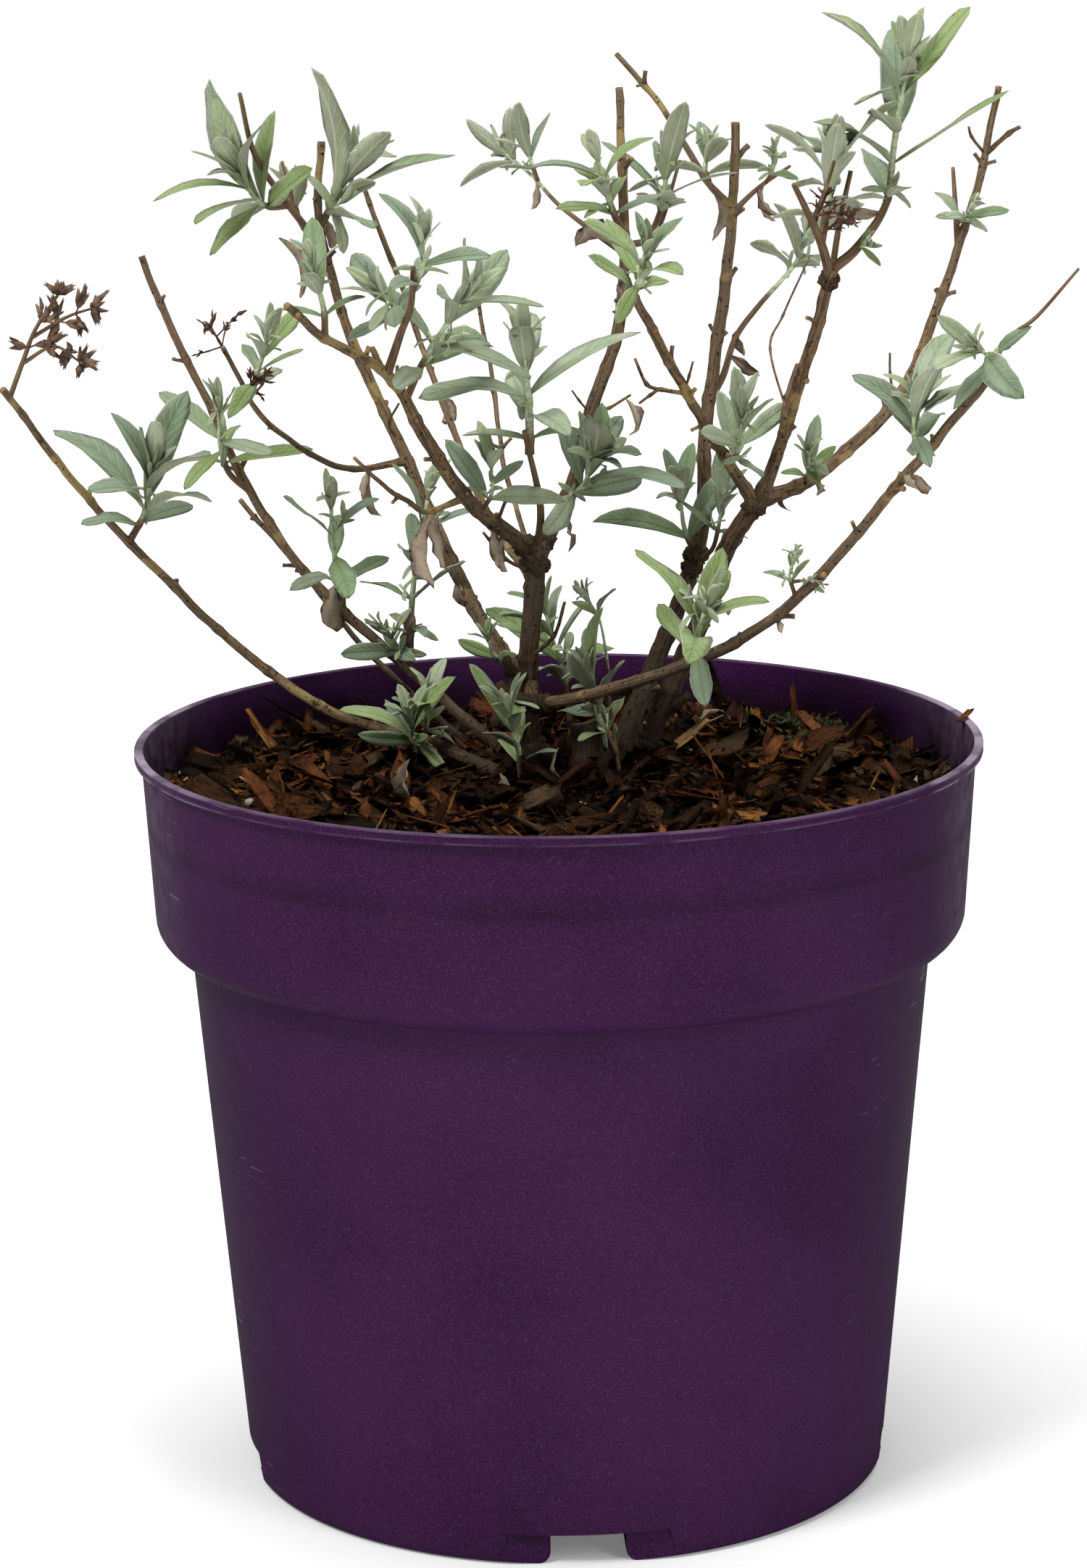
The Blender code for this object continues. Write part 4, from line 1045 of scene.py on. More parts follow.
def twigTube(row, start, spots, growth):
    path = smoothPath(jointsFrom(start, row.runs), twigs["ringStep"])
    reached = lengthsAlong(path)
    radii = [row.girth / 2 * (1 - twigs["thinning"] * d / reached[-1]) for d in reached]

    def relief(c, s, along, radius):
        angled = 1 + twigs["corner"] * (4 * abs(c * s) - 1)
        swell = sum(math.exp(-((along - spot) / 0.9) ** 2) for spot in spots)
        return angled + twigs["nodeSwell"] * min(1, swell)
    return wrapTube(path, radii, twigs["sides"], relief, growth)


# Leaves

leaf = {
    "rows": (0.0, 0.07, 0.18, 0.33, 0.50, 0.66, 0.81, 0.93, 1.0),
    "columns": 4,
    "share": (0.37, 0.49),  # width over length
    "thickness": 0.35,
    "fullness": 1.88,
    "footWidth": 0.07,
    "foldSpread": (3, 20),
    "waveSpread": (0.0, 0.035),
    "twistSpread": 20,
    "sideCurl": 0.10,
    "lowOpening": 84.0,
    "tipOpening": 30.0,
    "openingSpread": 26.0,
    "turnSpread": 30.0,
    "lengthShares": (0.7, 1.2),
    "arches": (5, 75),
    "dodges": (0, 16, -16, 32, -32, 48, -48),
    # slot name: (its colour, midrib, vein)
    "greyTop": ("7c8d75", "667a60", "919f87"),
    "greenTop": ("788d68", "617a4f", "8fa27d"),
    "softTop": ("96a389", "7f9072", "a9b39b"),
    "youngTop": ("a5b090", "93a27c", "b8c0a3"),
    "brightTop": ("84965f", "6c8547", "9aac78"),
    "feltUnder": ("a2a78f", "b7bba2", "aeb29a"),
    "youngUnder": ("b9c0a3", "c9cfb5", "c2c8ad"),
    # a darker, yellower copy of each leaf colour, for painted shade
    "shadedShares": (0.66, 0.70, 0.54),
    "marginColour": "c3c9b3",
    "footColour": "869e58",  # fresh green where a blade leaves its twig
    # the sprays low on the stool are the freshest
    "freshSprays": ("foliage_low_front", "foliage_low_centre", "foliage_low_right", "foliage_left_foot"),
    "infillShare": 0.3,  # chance of a smaller pair between two pairs
    "infillLength": (0.42, 0.75),
}

leafSlots = ("greyTop", "greenTop", "softTop", "youngTop", "brightTop", "feltUnder", "youngUnder")


def leafMaterial(name, base, rib, vein, upper):
    material, tree, shader = newMaterial(name, 0.72 if upper else 0.88)
    veins = useGroup(tree, leafVeins)
    patch = useGroup(tree, mottle, Scale=95.0, Low=0.30, High=0.72)
    # painted shade: patches of a darker, yellower copy of the colour stand in for leaves in shadow
    shaded = tuple(v * share for v, share in zip(linear(base), leaf["shadedShares"]))
    tone = blendColour(tree, patch.outputs[0], shaded, linear(base))
    fresh = maths(tree, "MULTIPLY", veins.outputs["Foot"], 0.55 if upper else 0.2)
    tone = blendColour(tree, fresh, tone, linear(leaf["footColour"]))
    tone = blendColour(tree, maths(tree, "MULTIPLY", veins.outputs["Veins"], 0.65), tone, linear(vein))
    tone = blendColour(tree, maths(tree, "MULTIPLY", veins.outputs["Midrib"], 0.85), tone, linear(rib))
    tone = blendColour(tree, maths(tree, "MULTIPLY", veins.outputs["Margin"], 0.75), tone, linear(leaf["marginColour"]))
    tree.links.new(tone, shader.inputs["Base Color"])
    felt = addNode(tree, "ShaderNodeTexNoise",
                   sockets={"Vector": tree.nodes.new("ShaderNodeTexCoord").outputs["Object"], "Scale": 2600.0})
    pattern = maths(tree, "MAXIMUM", veins.outputs["Midrib"], maths(tree, "MULTIPLY", veins.outputs["Veins"], 0.6))
    signed = maths(tree, "MULTIPLY", pattern, -1.0 if upper else 1.0)
    relief = maths(tree, "ADD", signed, maths(tree, "MULTIPLY", felt.outputs["Fac"], 0.25))
    bump = addNode(tree, "ShaderNodeBump", sockets={"Strength": 0.7, "Distance": 0.0004, "Height": relief})
    tree.links.new(bump.outputs[0], shader.inputs["Normal"])
    shader.inputs["Sheen Weight"].default_value = 0.15
    shader.inputs["Sheen Roughness"].default_value = 0.6
    return material


def leafBlank():
    # a flat closed blade: two grids that share their border; returns its shape and (across, up, layer)
    rows = leaf["rows"]
    bm = bmesh.new()
    bmesh.ops.create_grid(bm, x_segments=leaf["columns"], y_segments=len(rows) - 1, size=1)
    for v in bm.verts:
        v.co.y = rows[round((v.co.y + 1) / 2 * (len(rows) - 1))]
        if v.co.y > 0.999:
            v.co.x = 0.0
    bmesh.ops.remove_doubles(bm, verts=bm.verts, dist=1e-4)
    top = list(bm.faces)
    bmesh.ops.recalc_face_normals(bm, faces=top)
    if top[0].normal.z < 0:
        bmesh.ops.reverse_faces(bm, faces=top)
    border = {v for e in bm.edges if e.is_boundary for v in e.verts}
    under = bmesh.ops.duplicate(bm, geom=bm.verts[:] + bm.edges[:] + top)
    below = [f for f in under["geom"] if isinstance(f, bmesh.types.BMFace)]
    bmesh.ops.reverse_faces(bm, faces=below)
    for f in below:
        f.material_index = 1
    for v in {v for f in below for v in f.verts}:
        if not v.is_boundary:
            v.co.z = -1
    bmesh.ops.remove_doubles(bm, verts=bm.verts, dist=1e-4)
    bmesh.ops.recalc_face_normals(bm, faces=bm.faces)
    bm.verts.ensure_lookup_table()
    places = np.array([tuple(v.co) for v in bm.verts])
    chart = np.column_stack([places[:, 0] / 2 + 0.5, places[:, 1]])
    return shapeFrom(bm, chart=chart), places


def leafProfile(up, share):
    # half the width over the length, widest below the middle
    body = np.power(up, 0.8) * np.power(1 - up, 0.66) * leaf["fullness"]
    return share / 2 * np.maximum(body, leaf["footWidth"] * (1 - up))


blank, blankPlaces = leafBlank()


def bladeFrame(pose, dodge):
    turn = math.radians(pose.turn + dodge)
    outward = math.cos(turn) * pose.across + math.sin(turn) * pose.ahead.cross(pose.across)
    opening = math.radians(pose.opening)
    along = math.cos(opening) * pose.ahead + math.sin(opening) * outward
    upper = math.sin(opening) * pose.ahead - math.cos(opening) * outward
    return along, along.cross(upper), upper


def growLeaf(pose, dodge, dice, slots, share=None, roll=None):
    across, up, layer = blankPlaces.T
    along, wide, upper = (np.array(d) for d in bladeFrame(pose, dodge))
    length = pose.length
    half = leafProfile(up, share or dice.uniform(*leaf["share"])) * length
    ragged = 1 + 0.07 * np.array([dice.uniform(-1, 1) for _ in up]) * (np.abs(across) > 0.9)
    hump = length * math.radians(pose.arch) / 8
    lift = 4 * hump * up * (1 - up)
    fold = math.tan(math.radians(dice.uniform(*leaf["foldSpread"]) if roll is None else roll))
    wave = dice.uniform(*leaf["waveSpread"]) * length
    phase = dice.uniform(0, math.tau)
    aside = across * half * ragged
    rise = np.abs(aside) * fold + wave * np.sin(up * 9 + phase + across * 0.8) * across**2
    twist = np.radians(dice.uniform(-leaf["twistSpread"], leaf["twistSpread"])) * up
    sway = dice.uniform(-leaf["sideCurl"], leaf["sideCurl"]) * length * up * up * (1 - up) * 2
    y = aside * np.cos(twist) - rise * np.sin(twist) + sway
    z = aside * np.sin(twist) + rise * np.cos(twist) + lift + layer * leaf["thickness"]
    points = np.array(pose.root) + np.outer(up * length, along) + np.outer(y, wide) + np.outer(z, upper)
    faces = np.where(blank.slots == 0, slots[0], slots[1])
    return blank._replace(points=points, slots=faces)


def leavesOn(row, path):
    # the rule: pairs up the twig, each turned a quarter from the pair below, opening less towards the tip
    dice = random.Random(row.seed)
    total = lengthsAlong(path)[-1]
    firstTurn = dice.uniform(0, 180)
    poses = []
    for pair in range(row.pairs):
        up = pair / max(1, row.pairs - 1)
        spot = total * (row.bare + (1 - row.bare) * up)
        ahead = headingAlong(path, spot)
        across = (Vector((1, 0, 0)) - ahead.x * ahead).normalized()
        for side in (0, 180):
            turn = firstTurn + 90 * pair + side + dice.uniform(-leaf["turnSpread"], leaf["turnSpread"])
            opening = leaf["lowOpening"] + (leaf["tipOpening"] - leaf["lowOpening"]) * up
            opening += dice.uniform(-leaf["openingSpread"], leaf["openingSpread"])
            growthShare = 0.55 + 0.45 * math.sin(math.pi * (0.15 + 0.85 * up))
            length = row.leaf * growthShare * dice.uniform(*leaf["lengthShares"])
            arch = dice.uniform(*leaf["arches"])
            poses.append(LeafPose(pointAlong(path, spot), ahead, across, turn, opening, length, arch, up))
    return poses


def solidDodge(pose, corners):
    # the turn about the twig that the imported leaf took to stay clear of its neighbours
    for dodge in leaf["dodges"]:
        along, wide, upper = bladeFrame(pose, dodge)
        tip = pose.root + along * pose.length
        if np.min(np.linalg.norm(corners - np.array(tip), axis=1)) < 0.6:
            return dodge
    return 0


def nodeCorners(name):
    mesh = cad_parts[name].data
    flat = np.empty(len(mesh.vertices) * 3)
    mesh.vertices.foreach_get("co", flat)
    return flat.reshape(-1, 3) / mm


sprigs = {
    "share": 0.34,  # of the leaves that have a young shoot in their axil
    "length": (2.5, 7.0),
    "girth": 0.9,
    "pairs": (1, 2),
    "leaf": (0.26, 0.50),  # over the twig's leaf length
    "crownPairs": 3,
    "crownLeaf": (0.34, 0.62),
}


def slotsFor(dice, up, mood):
    # a leaf's upper and under finish: younger towards the tip, the rest as its spray has it
    if up > 0.8 and dice.random() < 0.55:
        return leafSlots.index("youngTop"), leafSlots.index("youngUnder")
    if dice.random() < 0.7:
        return leafSlots.index(mood), leafSlots.index("feltUnder")
    return leafSlots.index(dice.choice(("greyTop", "greenTop", "softTop"))), leafSlots.index("feltUnder")


def growSprig(pose, dice, leafLength, shoots, leaves):
    # a short shoot in the axil of a leaf, with a pair or two of small ones
    along, wide, upper = bladeFrame(pose._replace(opening=pose.opening * 0.55), 0)
    reach = dice.uniform(*sprigs["length"])
    row = TwigRow(0, [tuple(along * reach)], sprigs["girth"], 0.6, dice.randint(*sprigs["pairs"]),
                  leafLength * dice.uniform(*sprigs["leaf"]), dice.randint(0, 9999))
    path = smoothPath(jointsFrom(pose.root, row.runs), 2.0)
    shoots.append(wrapTube(path, [sprigs["girth"] / 2] * len(path), 4, lambda c, s, d, r: 1, (0.8, 1)))
    for small in leavesOn(row, path):
        leaves.append(growLeaf(small, 0, dice, slotsFor(dice, 0.9, "youngTop")))


def makeFoliage(routes, paths):
    shoots, leaves, small = [], [], []
    for name, (limbName, rows) in masses.items():
        dice = random.Random(name)
        corners = nodeCorners(name)
        stem = None
        mood = dice.choice(("greyTop", "greyTop", "greenTop", "softTop", "brightTop"))
        if name in leaf["freshSprays"]:
            mood = "brightTop"
        for row in rows:
            start, path = twigPath(row, routes.get(limbName), stem)
            stem = stem or path
            paths.setdefault(name, path)
            poses = leavesOn(row, path)
            total = lengthsAlong(path)[-1]
            spots = [total * (row.bare + (1 - row.bare) * p.up) for p in poses[::2]]
            dry = name == "seedhead_left"
            woody = max(-1.5, 0.3 - 1.2 * row.bare / max(0.01, 1 - row.bare))
            growth = (0, 0.1) if dry or not row.pairs else (woody, 1.5)
            shoots.append(twigTube(row, start, spots, growth))
            if dry:
                continue
            for pose in poses:
                leaves.append(growLeaf(pose, solidDodge(pose, corners), dice, slotsFor(dice, pose.up, mood)))
                if dice.random() < sprigs["share"]:
                    growSprig(pose, dice, row.leaf, shoots, small)
            for low, high in zip(poses[::2], poses[2::2]):
                if dice.random() < leaf["infillShare"]:
                    leaves += growInfill(low, high, dice, mood)
            if row.pairs:
                growCrown(row, path, dice, small)
    green = [n for n in masses if n != "seedhead_left"]
    finishPiece(joinShapes("twigs", shoots), list(masses), [twigSkin()])
    finishes = [leafMaterial(n, *leaf[n], upper=n.endswith("Top")) for n in leafSlots]
    finishPiece(joinShapes("leaves", leaves), green, finishes)
    finishPiece(joinShapes("youngLeaves", small), green, finishes)


def growInfill(low, high, dice, mood):
    # a smaller pair half way between two pairs, crossing them
    found = []
    for side in (0, 180):
        share = dice.uniform(0.35, 0.65)
        up = low.up + (high.up - low.up) * share
        pose = LeafPose(low.root.lerp(high.root, share), low.ahead, low.across,
                        low.turn + 45 + side + dice.uniform(-20, 20),
                        (low.opening + high.opening) / 2 + dice.uniform(-15, 15),
                        max(low.length, high.length) * dice.uniform(*leaf["infillLength"]),
                        dice.uniform(*leaf["arches"]), up)
        found.append(growLeaf(pose, 0, dice, slotsFor(dice, up, mood)))
    return found


def growCrown(row, path, dice, leaves):
    # folded young leaves round the bud at a twig's tip
    total = lengthsAlong(path)[-1]
    ahead = headingAlong(path, total - 2)
    across = (Vector((1, 0, 0)) - ahead.x * ahead).normalized()
    first = dice.uniform(0, 180)
    for pair in range(sprigs["crownPairs"]):
        for side in (0, 180):
            length = row.leaf * dice.uniform(*sprigs["crownLeaf"]) * (1 - 0.3 * pair)
            turn = first + 90 * pair + side + dice.uniform(-15, 15)
            opening = dice.uniform(10, 38) - 6 * pair
            pose = LeafPose(path[-1] - ahead * 0.4, ahead, across, turn, opening, length, dice.uniform(5, 50), 1)
            leaves.append(growLeaf(pose, 0, dice, slotsFor(dice, 1, "softTop"), share=dice.uniform(0.3, 0.42)))


# Dead twigs, withered leaves and dried seed heads

deadTwigs = {
    # name: (what it grows from, distance along that, runs, girth)
    "stumpRight": ("bough_right", 23, [(2, 6, 10), (3, 6, 8)], 3.1),
    "stubLeft": ("bough_left_front", 92, [(-2, -4, 6)], 2.4),
    "thinBehind": ("bough_right", 30, [(-4, 20, 16), (4, 10, 8), (8, 15, 14)], 0.8),
    "hookInner": ("bough_right_inner", 51, [(-7, -5, 2), (-4, -3, 2), (-3, -2, 7)], 1.2),
    "hookFork": ("bough_right_inner", 51, [(-7, -5, 2), (-3, -3, -1), (-3, -1, -2)], 1.1),
    "calyxStalk": ("bough_right_inner", 53, [(1, -3, 4), (1, -1, 4)], 0.8),
    "tallSpur": ("bough_right_tall", 54, [(-1, 3, 7), (0, 2, 6)], 0.9),
    "centreHook": ("bough_centre", 42, [(5, -3, 2), (6, -3, 4)], 1.0),
    "centreSpur": ("bough_centre", 42, [(-3, -2, 4), (-2, -1, 3)], 0.8),
    "crownUpright": ("foliage_right_crown", 13, [(1, 3, 8), (3, 2, 9)], 1.7),
    "crownUpright2": ("bough_right", 84, [(2, 2, 12), (3, 2, 13)], 1.8),
    "crownSpur": ("foliage_right_crown", 24, [(4, 4, 9), (2, 2, 6)], 1.2),
    "tallFork": ("bough_right_tall", 130, [(6, -4, 6), (3, -2, 2)], 1.6),
    "tallForkLeft": ("bough_right_tall", 130, [(-4, -2, 5), (-1, -1, 3)], 1.0),
    "innerSpur": ("twig_left_thin", 63, [(4, -2, 4), (1, -1, 5)], 0.8),
    "stoolSpur": ("trunk", 34, [(7, -8, 8), (3, -4, 10)], 1.4),
    "stoolSpurLeft": ("trunk", 58, [(-8, -5, 5), (-6, -3, 8)], 1.2),
    "frontSpur": ("bough_left_front", 20, [(3, -6, 8), (4, -4, 4)], 1.1),
    "backSpur": ("bough_left_back", 88, [(-2, -4, 5), (3, -2, 6)], 0.9),
}

burls = {
    # name: (what it swells from, distance along that, half width), the knobbly remains of old cuts
    "forkLeft": ("trunk", 61, 4.0),
    "forkLeft2": ("bough_left_front", 6, 3.2),
    "forkLeft3": ("bough_centre", 5, 3.0),
    "collarRight": ("stem_right_back", 66, 3.3),
    "collarRight2": ("stem_right_back", 62, 3.0),
    "stoolKnee": ("bough_right_low", 13, 2.6),
    "stoolKnee2": ("bough_right_low", 17, 2.4),
    "stoolLeft": ("trunk", 22, 4.0),
    "stoolLow": ("trunk", 8, 4.6),
    "stoolBack": ("bough_left_back", 4, 3.6),
    "rightFoot": ("stem_right", 6, 4.4),
    "forkRight": ("stem_right", 86, 3.2),
    "crownRight": ("bough_right", 80, 2.6),
}

stoolCuts = {
    # name: (what it grows from, distance along that, runs, girth), thick dead ends round the stool
    "kneeLeft": ("bough_right_low", 14, [(-7, 3, 1), (-4, 3, 3)], 4.2),
    "kneeUp": ("trunk", 28, [(-5, -7, 4), (-1, -2, 4)], 3.4),
    "stoolLeftCut": ("trunk", 14, [(-7, -5, 3), (-3, -2, 1)], 4.6),
    "stoolFrontCut": ("trunk", 6, [(3, -9, 3), (1, -3, 2)], 4.4),
    "rightCut": ("stem_right", 14, [(6, -5, 6), (3, -2, 3)], 3.2),
}

witheredLeaves = {
    # name: (what it hangs from, distance along that, way to its tip, width over length)
    "topHang": ("bough_top_middle", 12, (0, -3, -15), 0.34),
    "forkHang": ("foliage_top_fork", 14, (6, -2, -7), 0.40),
    "forkHang2": ("foliage_top_fork", 16, (3, -3, -10), 0.35),
    "rightHang": ("bough_right_tall", 10, (0, -3, -6), 0.45),
    "lowRightHang": ("bough_right_low", 102, (0, -2, -5), 0.45),
    "centreSliver": ("bough_centre", 13, (2, -4, -10), 0.25),
    "broadBrown": ("twig_left_dead", 11, (-1, -4, -21), 0.36),
    "broadBrown2": ("twig_left_dead", 14, (4, -3, -15), 0.32),
    "forkScrap": ("bough_left_front", 21, (3, -3, -13), 0.40),
    "forkScrap2": ("bough_left_front", 15, (-2, -5, -9), 0.42),
    "backScrap": ("bough_left_back", 43, (2, -4, -8), 0.45),
    "wideCurled": ("foliage_left_lower", 8, (-2, -5, -13), 0.75),
    "footCurled": ("foliage_left_tall", 18, (-4, -3, -12), 0.42),
    "frontRight": ("bough_right_low", 164, (0, -3, -6), 0.5),
    "frontRight2": ("bough_right_low", 160, (6, -5, -4), 0.5),
    "backTopHang": ("foliage_back_top", 43, (1, -2, -10), 0.55),
    "crownHang": ("foliage_left_crown", 3, (2, -3, -8), 0.55),
    "insideHang": ("cane_back_thin", 71, (1, -3, -8), 0.8),
    "dangling": ("twig_left_thin", 11, (2, -3, -14), 0.36),
    "dangling2": ("twig_left_dead", 50, (-1, -3, -7), 0.4),
    "darkFolded": ("foliage_right_twig", 29, (0, -4, -8), 0.5),
    "darkFolded2": ("foliage_right_twig", 17, (8, -3, -6), 0.5),
    "collarLeaf": ("bough_centre", 86, (-14, -7, 4), 0.5),
    "collarScrap": ("bough_centre", 80, (0, -6, -7), 0.6),
    "collarScrap2": ("bough_centre", 77, (-4, -5, -5), 0.6),
    "hookLeaf": ("centreHook", 12, (1, -2, -10), 0.6),
    "rightHigh": ("foliage_top_right", 24, (-8, -3, 0), 0.6),
    "rightLow": ("foliage_right_low", 4, (3, -4, -5), 0.5),
    "mulchPale": ("foliage_low_left", 2, (1, -6, -7), 0.5),
}

seedSprays = {
    # name: (what it grows from, distance along that, runs, pairs of stalks, stalk length, husk length)
    "redLeft": ("twig_left_thin", 80, [(-2, -1, 4), (-2, -1, 4)], 2, (6, 11), 2.4),
    "redRight": ("foliage_right_crown", 26, [(5, 2, 1), (6, 2, -1)], 5, (2, 5), 1.3),
    "redRight2": ("foliage_right_crown", 17, [(4, 2, 3), (5, 3, 1)], 4, (2, 5), 1.3),
    "redRight3": ("foliage_right_crown", 22, [(2, 2, 5), (2, 2, 4)], 4, (2, 4), 1.3),
    "innerDry": ("twig_left_thin", 66, [(3, -2, 3), (3, -1, 2)], 2, (3, 5), 2.0),
}

seedHeads = {
    "gap": 3.0,
    "stalk": (2.5, 5.5),
    "stalkGirth": 0.55,
    "husks": (4, 7),
    "huskLong": 4.6,
    "huskGirth": 0.26,  # over its length
    "colour": "7a6250",
    "dark": "41332a",
    "redColour": "634636",
    "redDark": "35251e",
    "leafColour": "8c7b69",
    "leafDark": "5a4b3f",
    "leafUnder": "a1937f",
}


def drySkin(name, colour, dark, scale=300.0):
    material, tree, shader = newMaterial(name, 0.9)
    patch = useGroup(tree, mottle, Scale=scale, Low=0.35, High=0.65)
    tree.links.new(blendColour(tree, patch.outputs[0], linear(dark), linear(colour)), shader.inputs["Base Color"])
    rough = addNode(tree, "ShaderNodeTexNoise",
                    sockets={"Vector": tree.nodes.new("ShaderNodeTexCoord").outputs["Object"], "Scale": 900.0})
    bump = addNode(tree, "ShaderNodeBump",
                   sockets={"Strength": 0.8, "Distance": 0.0006, "Height": rough.outputs["Fac"]})
    tree.links.new(bump.outputs[0], shader.inputs["Normal"])
    return material


def huskBlank():
    # a dry split seed case, on its foot, pointed at its tip
    bm = bmesh.new()
    bmesh.ops.create_cone(bm, cap_ends=True, segments=6, radius1=0.22, radius2=0.10, depth=1.0)
    bmesh.ops.translate(bm, verts=bm.verts, vec=(0, 0, 0.5))
    long = [e for e in bm.edges if abs(e.verts[0].co.z - e.verts[1].co.z) > 0.9]
    bmesh.ops.subdivide_edges(bm, edges=long, cuts=2)
    for v in bm.verts:
        if 0.2 < v.co.z < 0.8:
            v.co.x *= 2.4 - v.co.z
            v.co.y *= 2.4 - v.co.z
        elif v.co.z > 0.9:
            v.co.z += 0.16 * math.sin(3 * math.atan2(v.co.y, v.co.x))
            v.co.x *= 1.6
    bmesh.ops.recalc_face_normals(bm, faces=bm.faces)
    return shapeFrom(bm)


def placed(shape, place, along, scale, spin, slots=None):
    # a shape with its z turned to the given direction
    z = Vector(along).normalized()
    x = z.orthogonal().normalized()
    turn = np.array((x, z.cross(x), z)).T
    c, s = math.cos(spin), math.sin(spin)
    spun = np.array(((c, -s, 0), (s, c, 0), (0, 0, 1)))
    points = (shape.points * np.array(scale)) @ spun.T @ turn.T + np.array(place)
    return shape._replace(points=points, slots=shape.slots if slots is None else slots)


def plainTube(start, runs, girth, tipShare, sides=6, growth=0.5):
    # a bare twig with a knob at each bend
    path = smoothPath(jointsFrom(start, runs), 1.2)
    reached = lengthsAlong(path)
    knobs = lengthsAlong(jointsFrom(start, runs))[1:-1]
    radii = [girth / 2 * (1 - (1 - tipShare) * d / reached[-1]) for d in reached]

    def relief(c, s, along, radius):
        knob = sum(math.exp(-((along - k) / 0.8) ** 2) for k in knobs)
        return 1 + 0.45 * knob + 0.18 * noise.noise(Vector((c, s, along * 0.5)) + Vector(start))
    return path, wrapTube(path, radii, sides, relief, (growth, growth), capSlot=1)


def growSpray(path, first, pairs, stalkLength, huskLong, dice, slot):
    # opposite stalks up the path, each with a few seed cases at its end
    found = []
    total = lengthsAlong(path)[-1]
    for pair in range(pairs + 1):
        spot = total * (first + (1 - first) * pair / pairs)
        place = pointAlong(path, spot)
        ahead = headingAlong(path, min(spot, total - 2.1)) if total > 4.5 else (path[-1] - path[0]).normalized()
        across = ahead.orthogonal().normalized()
        for side in (0, 180):
            turn = math.radians(90 * pair + side + dice.uniform(-25, 25))
            outward = math.cos(turn) * across + math.sin(turn) * ahead.cross(across)
            lean = (outward + ahead * dice.uniform(0.2, 0.9)).normalized()
            long = dice.uniform(*stalkLength) * (0.3 if pair == pairs else 1)
            bend = Vector([dice.uniform(-0.25, 0.25) for _ in range(3)])
            route, stalk = plainTube(place, [lean * long / 2, (lean + bend) * long / 2],
                                     seedHeads["stalkGirth"], 0.8, sides=4)
            found.append(stalk._replace(slots=np.full(len(stalk.sizes), slot)))
            for i in range(dice.randint(*seedHeads["husks"])):
                away = Vector([dice.uniform(-1, 1) for _ in range(3)]) * 0.75
                point = (lean + bend + away).normalized()
                size = huskLong * dice.uniform(0.6, 1.15)
                girth = size * seedHeads["huskGirth"] * 2 * dice.uniform(0.8, 1.3)
                root = route[-1 - min(i, 2)]
                found.append(placed(huskCase, root, point, (girth, girth, size), dice.uniform(0, 6),
                                    slots=np.full(len(huskCase.sizes), slot)))
    return found


huskCase = huskBlank()


def makeSeedHeads(routes):
    dice = random.Random(21)
    found = []
    limbName, rows = masses["seedhead_left"]
    stem = None
    for row in rows:
        start, path = twigPath(row, routes[limbName], stem)
        stem = stem or path
        found += growSpray(path, 0.45, 2, seedHeads["stalk"], seedHeads["huskLong"], dice, 0)
    finishPiece(joinShapes("seedHeads", found), ["seedhead_left"],
                [drySkin("dryHusk", seedHeads["colour"], seedHeads["dark"])])


def makeDeadWood(paths):
    # bare twigs and seed sprays that stand on the living wood, and the leaves that withered on it
    dice = random.Random(4)
    wood, sprays, withered = [], [], []
    for name, (carrier, along, runs, girth) in deadTwigs.items():
        start = pointAlong(paths[carrier], along)
        paths[name], tube = plainTube(start, runs, girth, 0.7)
        wood.append(tube)
    for carrier, along, runs, girth in stoolCuts.values():
        # the stool's cut ends take a growth below nought, which darkens them with painted shade
        path, tube = plainTube(pointAlong(paths[carrier], along), runs, girth, 0.8, sides=12, growth=-0.4)
        wood.append(tube._replace(slots=np.zeros(len(tube.sizes), dtype=int)))
    for carrier, along, half in burls.values():
        wood.append(growBurl(pointAlong(paths[carrier], along), half, dice))
    for carrier, along, runs, pairs, stalk, husk in seedSprays.values():
        start = pointAlong(paths[carrier], along)
        path, tube = plainTube(start, runs, 0.8, 0.7)
        sprays.append(tube._replace(slots=np.full(len(tube.sizes), 0)))
        sprays += growSpray(path, 0.3, pairs, stalk, husk, dice, 0)
    for carrier, along, way, share in witheredLeaves.values():
        root = pointAlong(paths[carrier], along)
        withered += growWithered(root, Vector(way), share, dice)
    for root, way, share in litter.values():
        withered += growWithered(Vector(root), Vector(way), share, dice)
    finishPiece(joinShapes("deadTwigs", wood), ["bough_right"], [barkMaterial(), cutWood()])
    finishPiece(joinShapes("redSprays", sprays), ["seedhead_left"],
                [drySkin("redHusk", seedHeads["redColour"], seedHeads["redDark"])])
    finishPiece(joinShapes("witheredLeaves", withered), ["seedhead_left"],
                [drySkin("witheredLeaf", seedHeads["leafColour"], seedHeads["leafDark"], 160.0),
                 drySkin("witheredUnder", seedHeads["leafUnder"], seedHeads["leafColour"], 160.0)])


def growBurl(place, half, dice):
    # a lumpy swelling with bark of its own
    bm = bmesh.new()
    bmesh.ops.create_icosphere(bm, subdivisions=4, radius=1)
    grain = bm.verts.layers.float_vector.new("grain")
    grown = bm.verts.layers.float.new("growth")
    offset = Vector([dice.uniform(0, 60) for _ in range(3)])
    for v in bm.verts:
        lump = noise.noise(v.co * 1.7 + offset) * 0.35 + noise.noise(v.co * 4.5 + offset) * 0.22
        v[grain] = v.co * half + offset
        # a growth below nought darkens the burl with painted shade
        v[grown] = -0.3
        v.co = place + v.co * half * (1 + lump)
    return shapeFrom(bm)


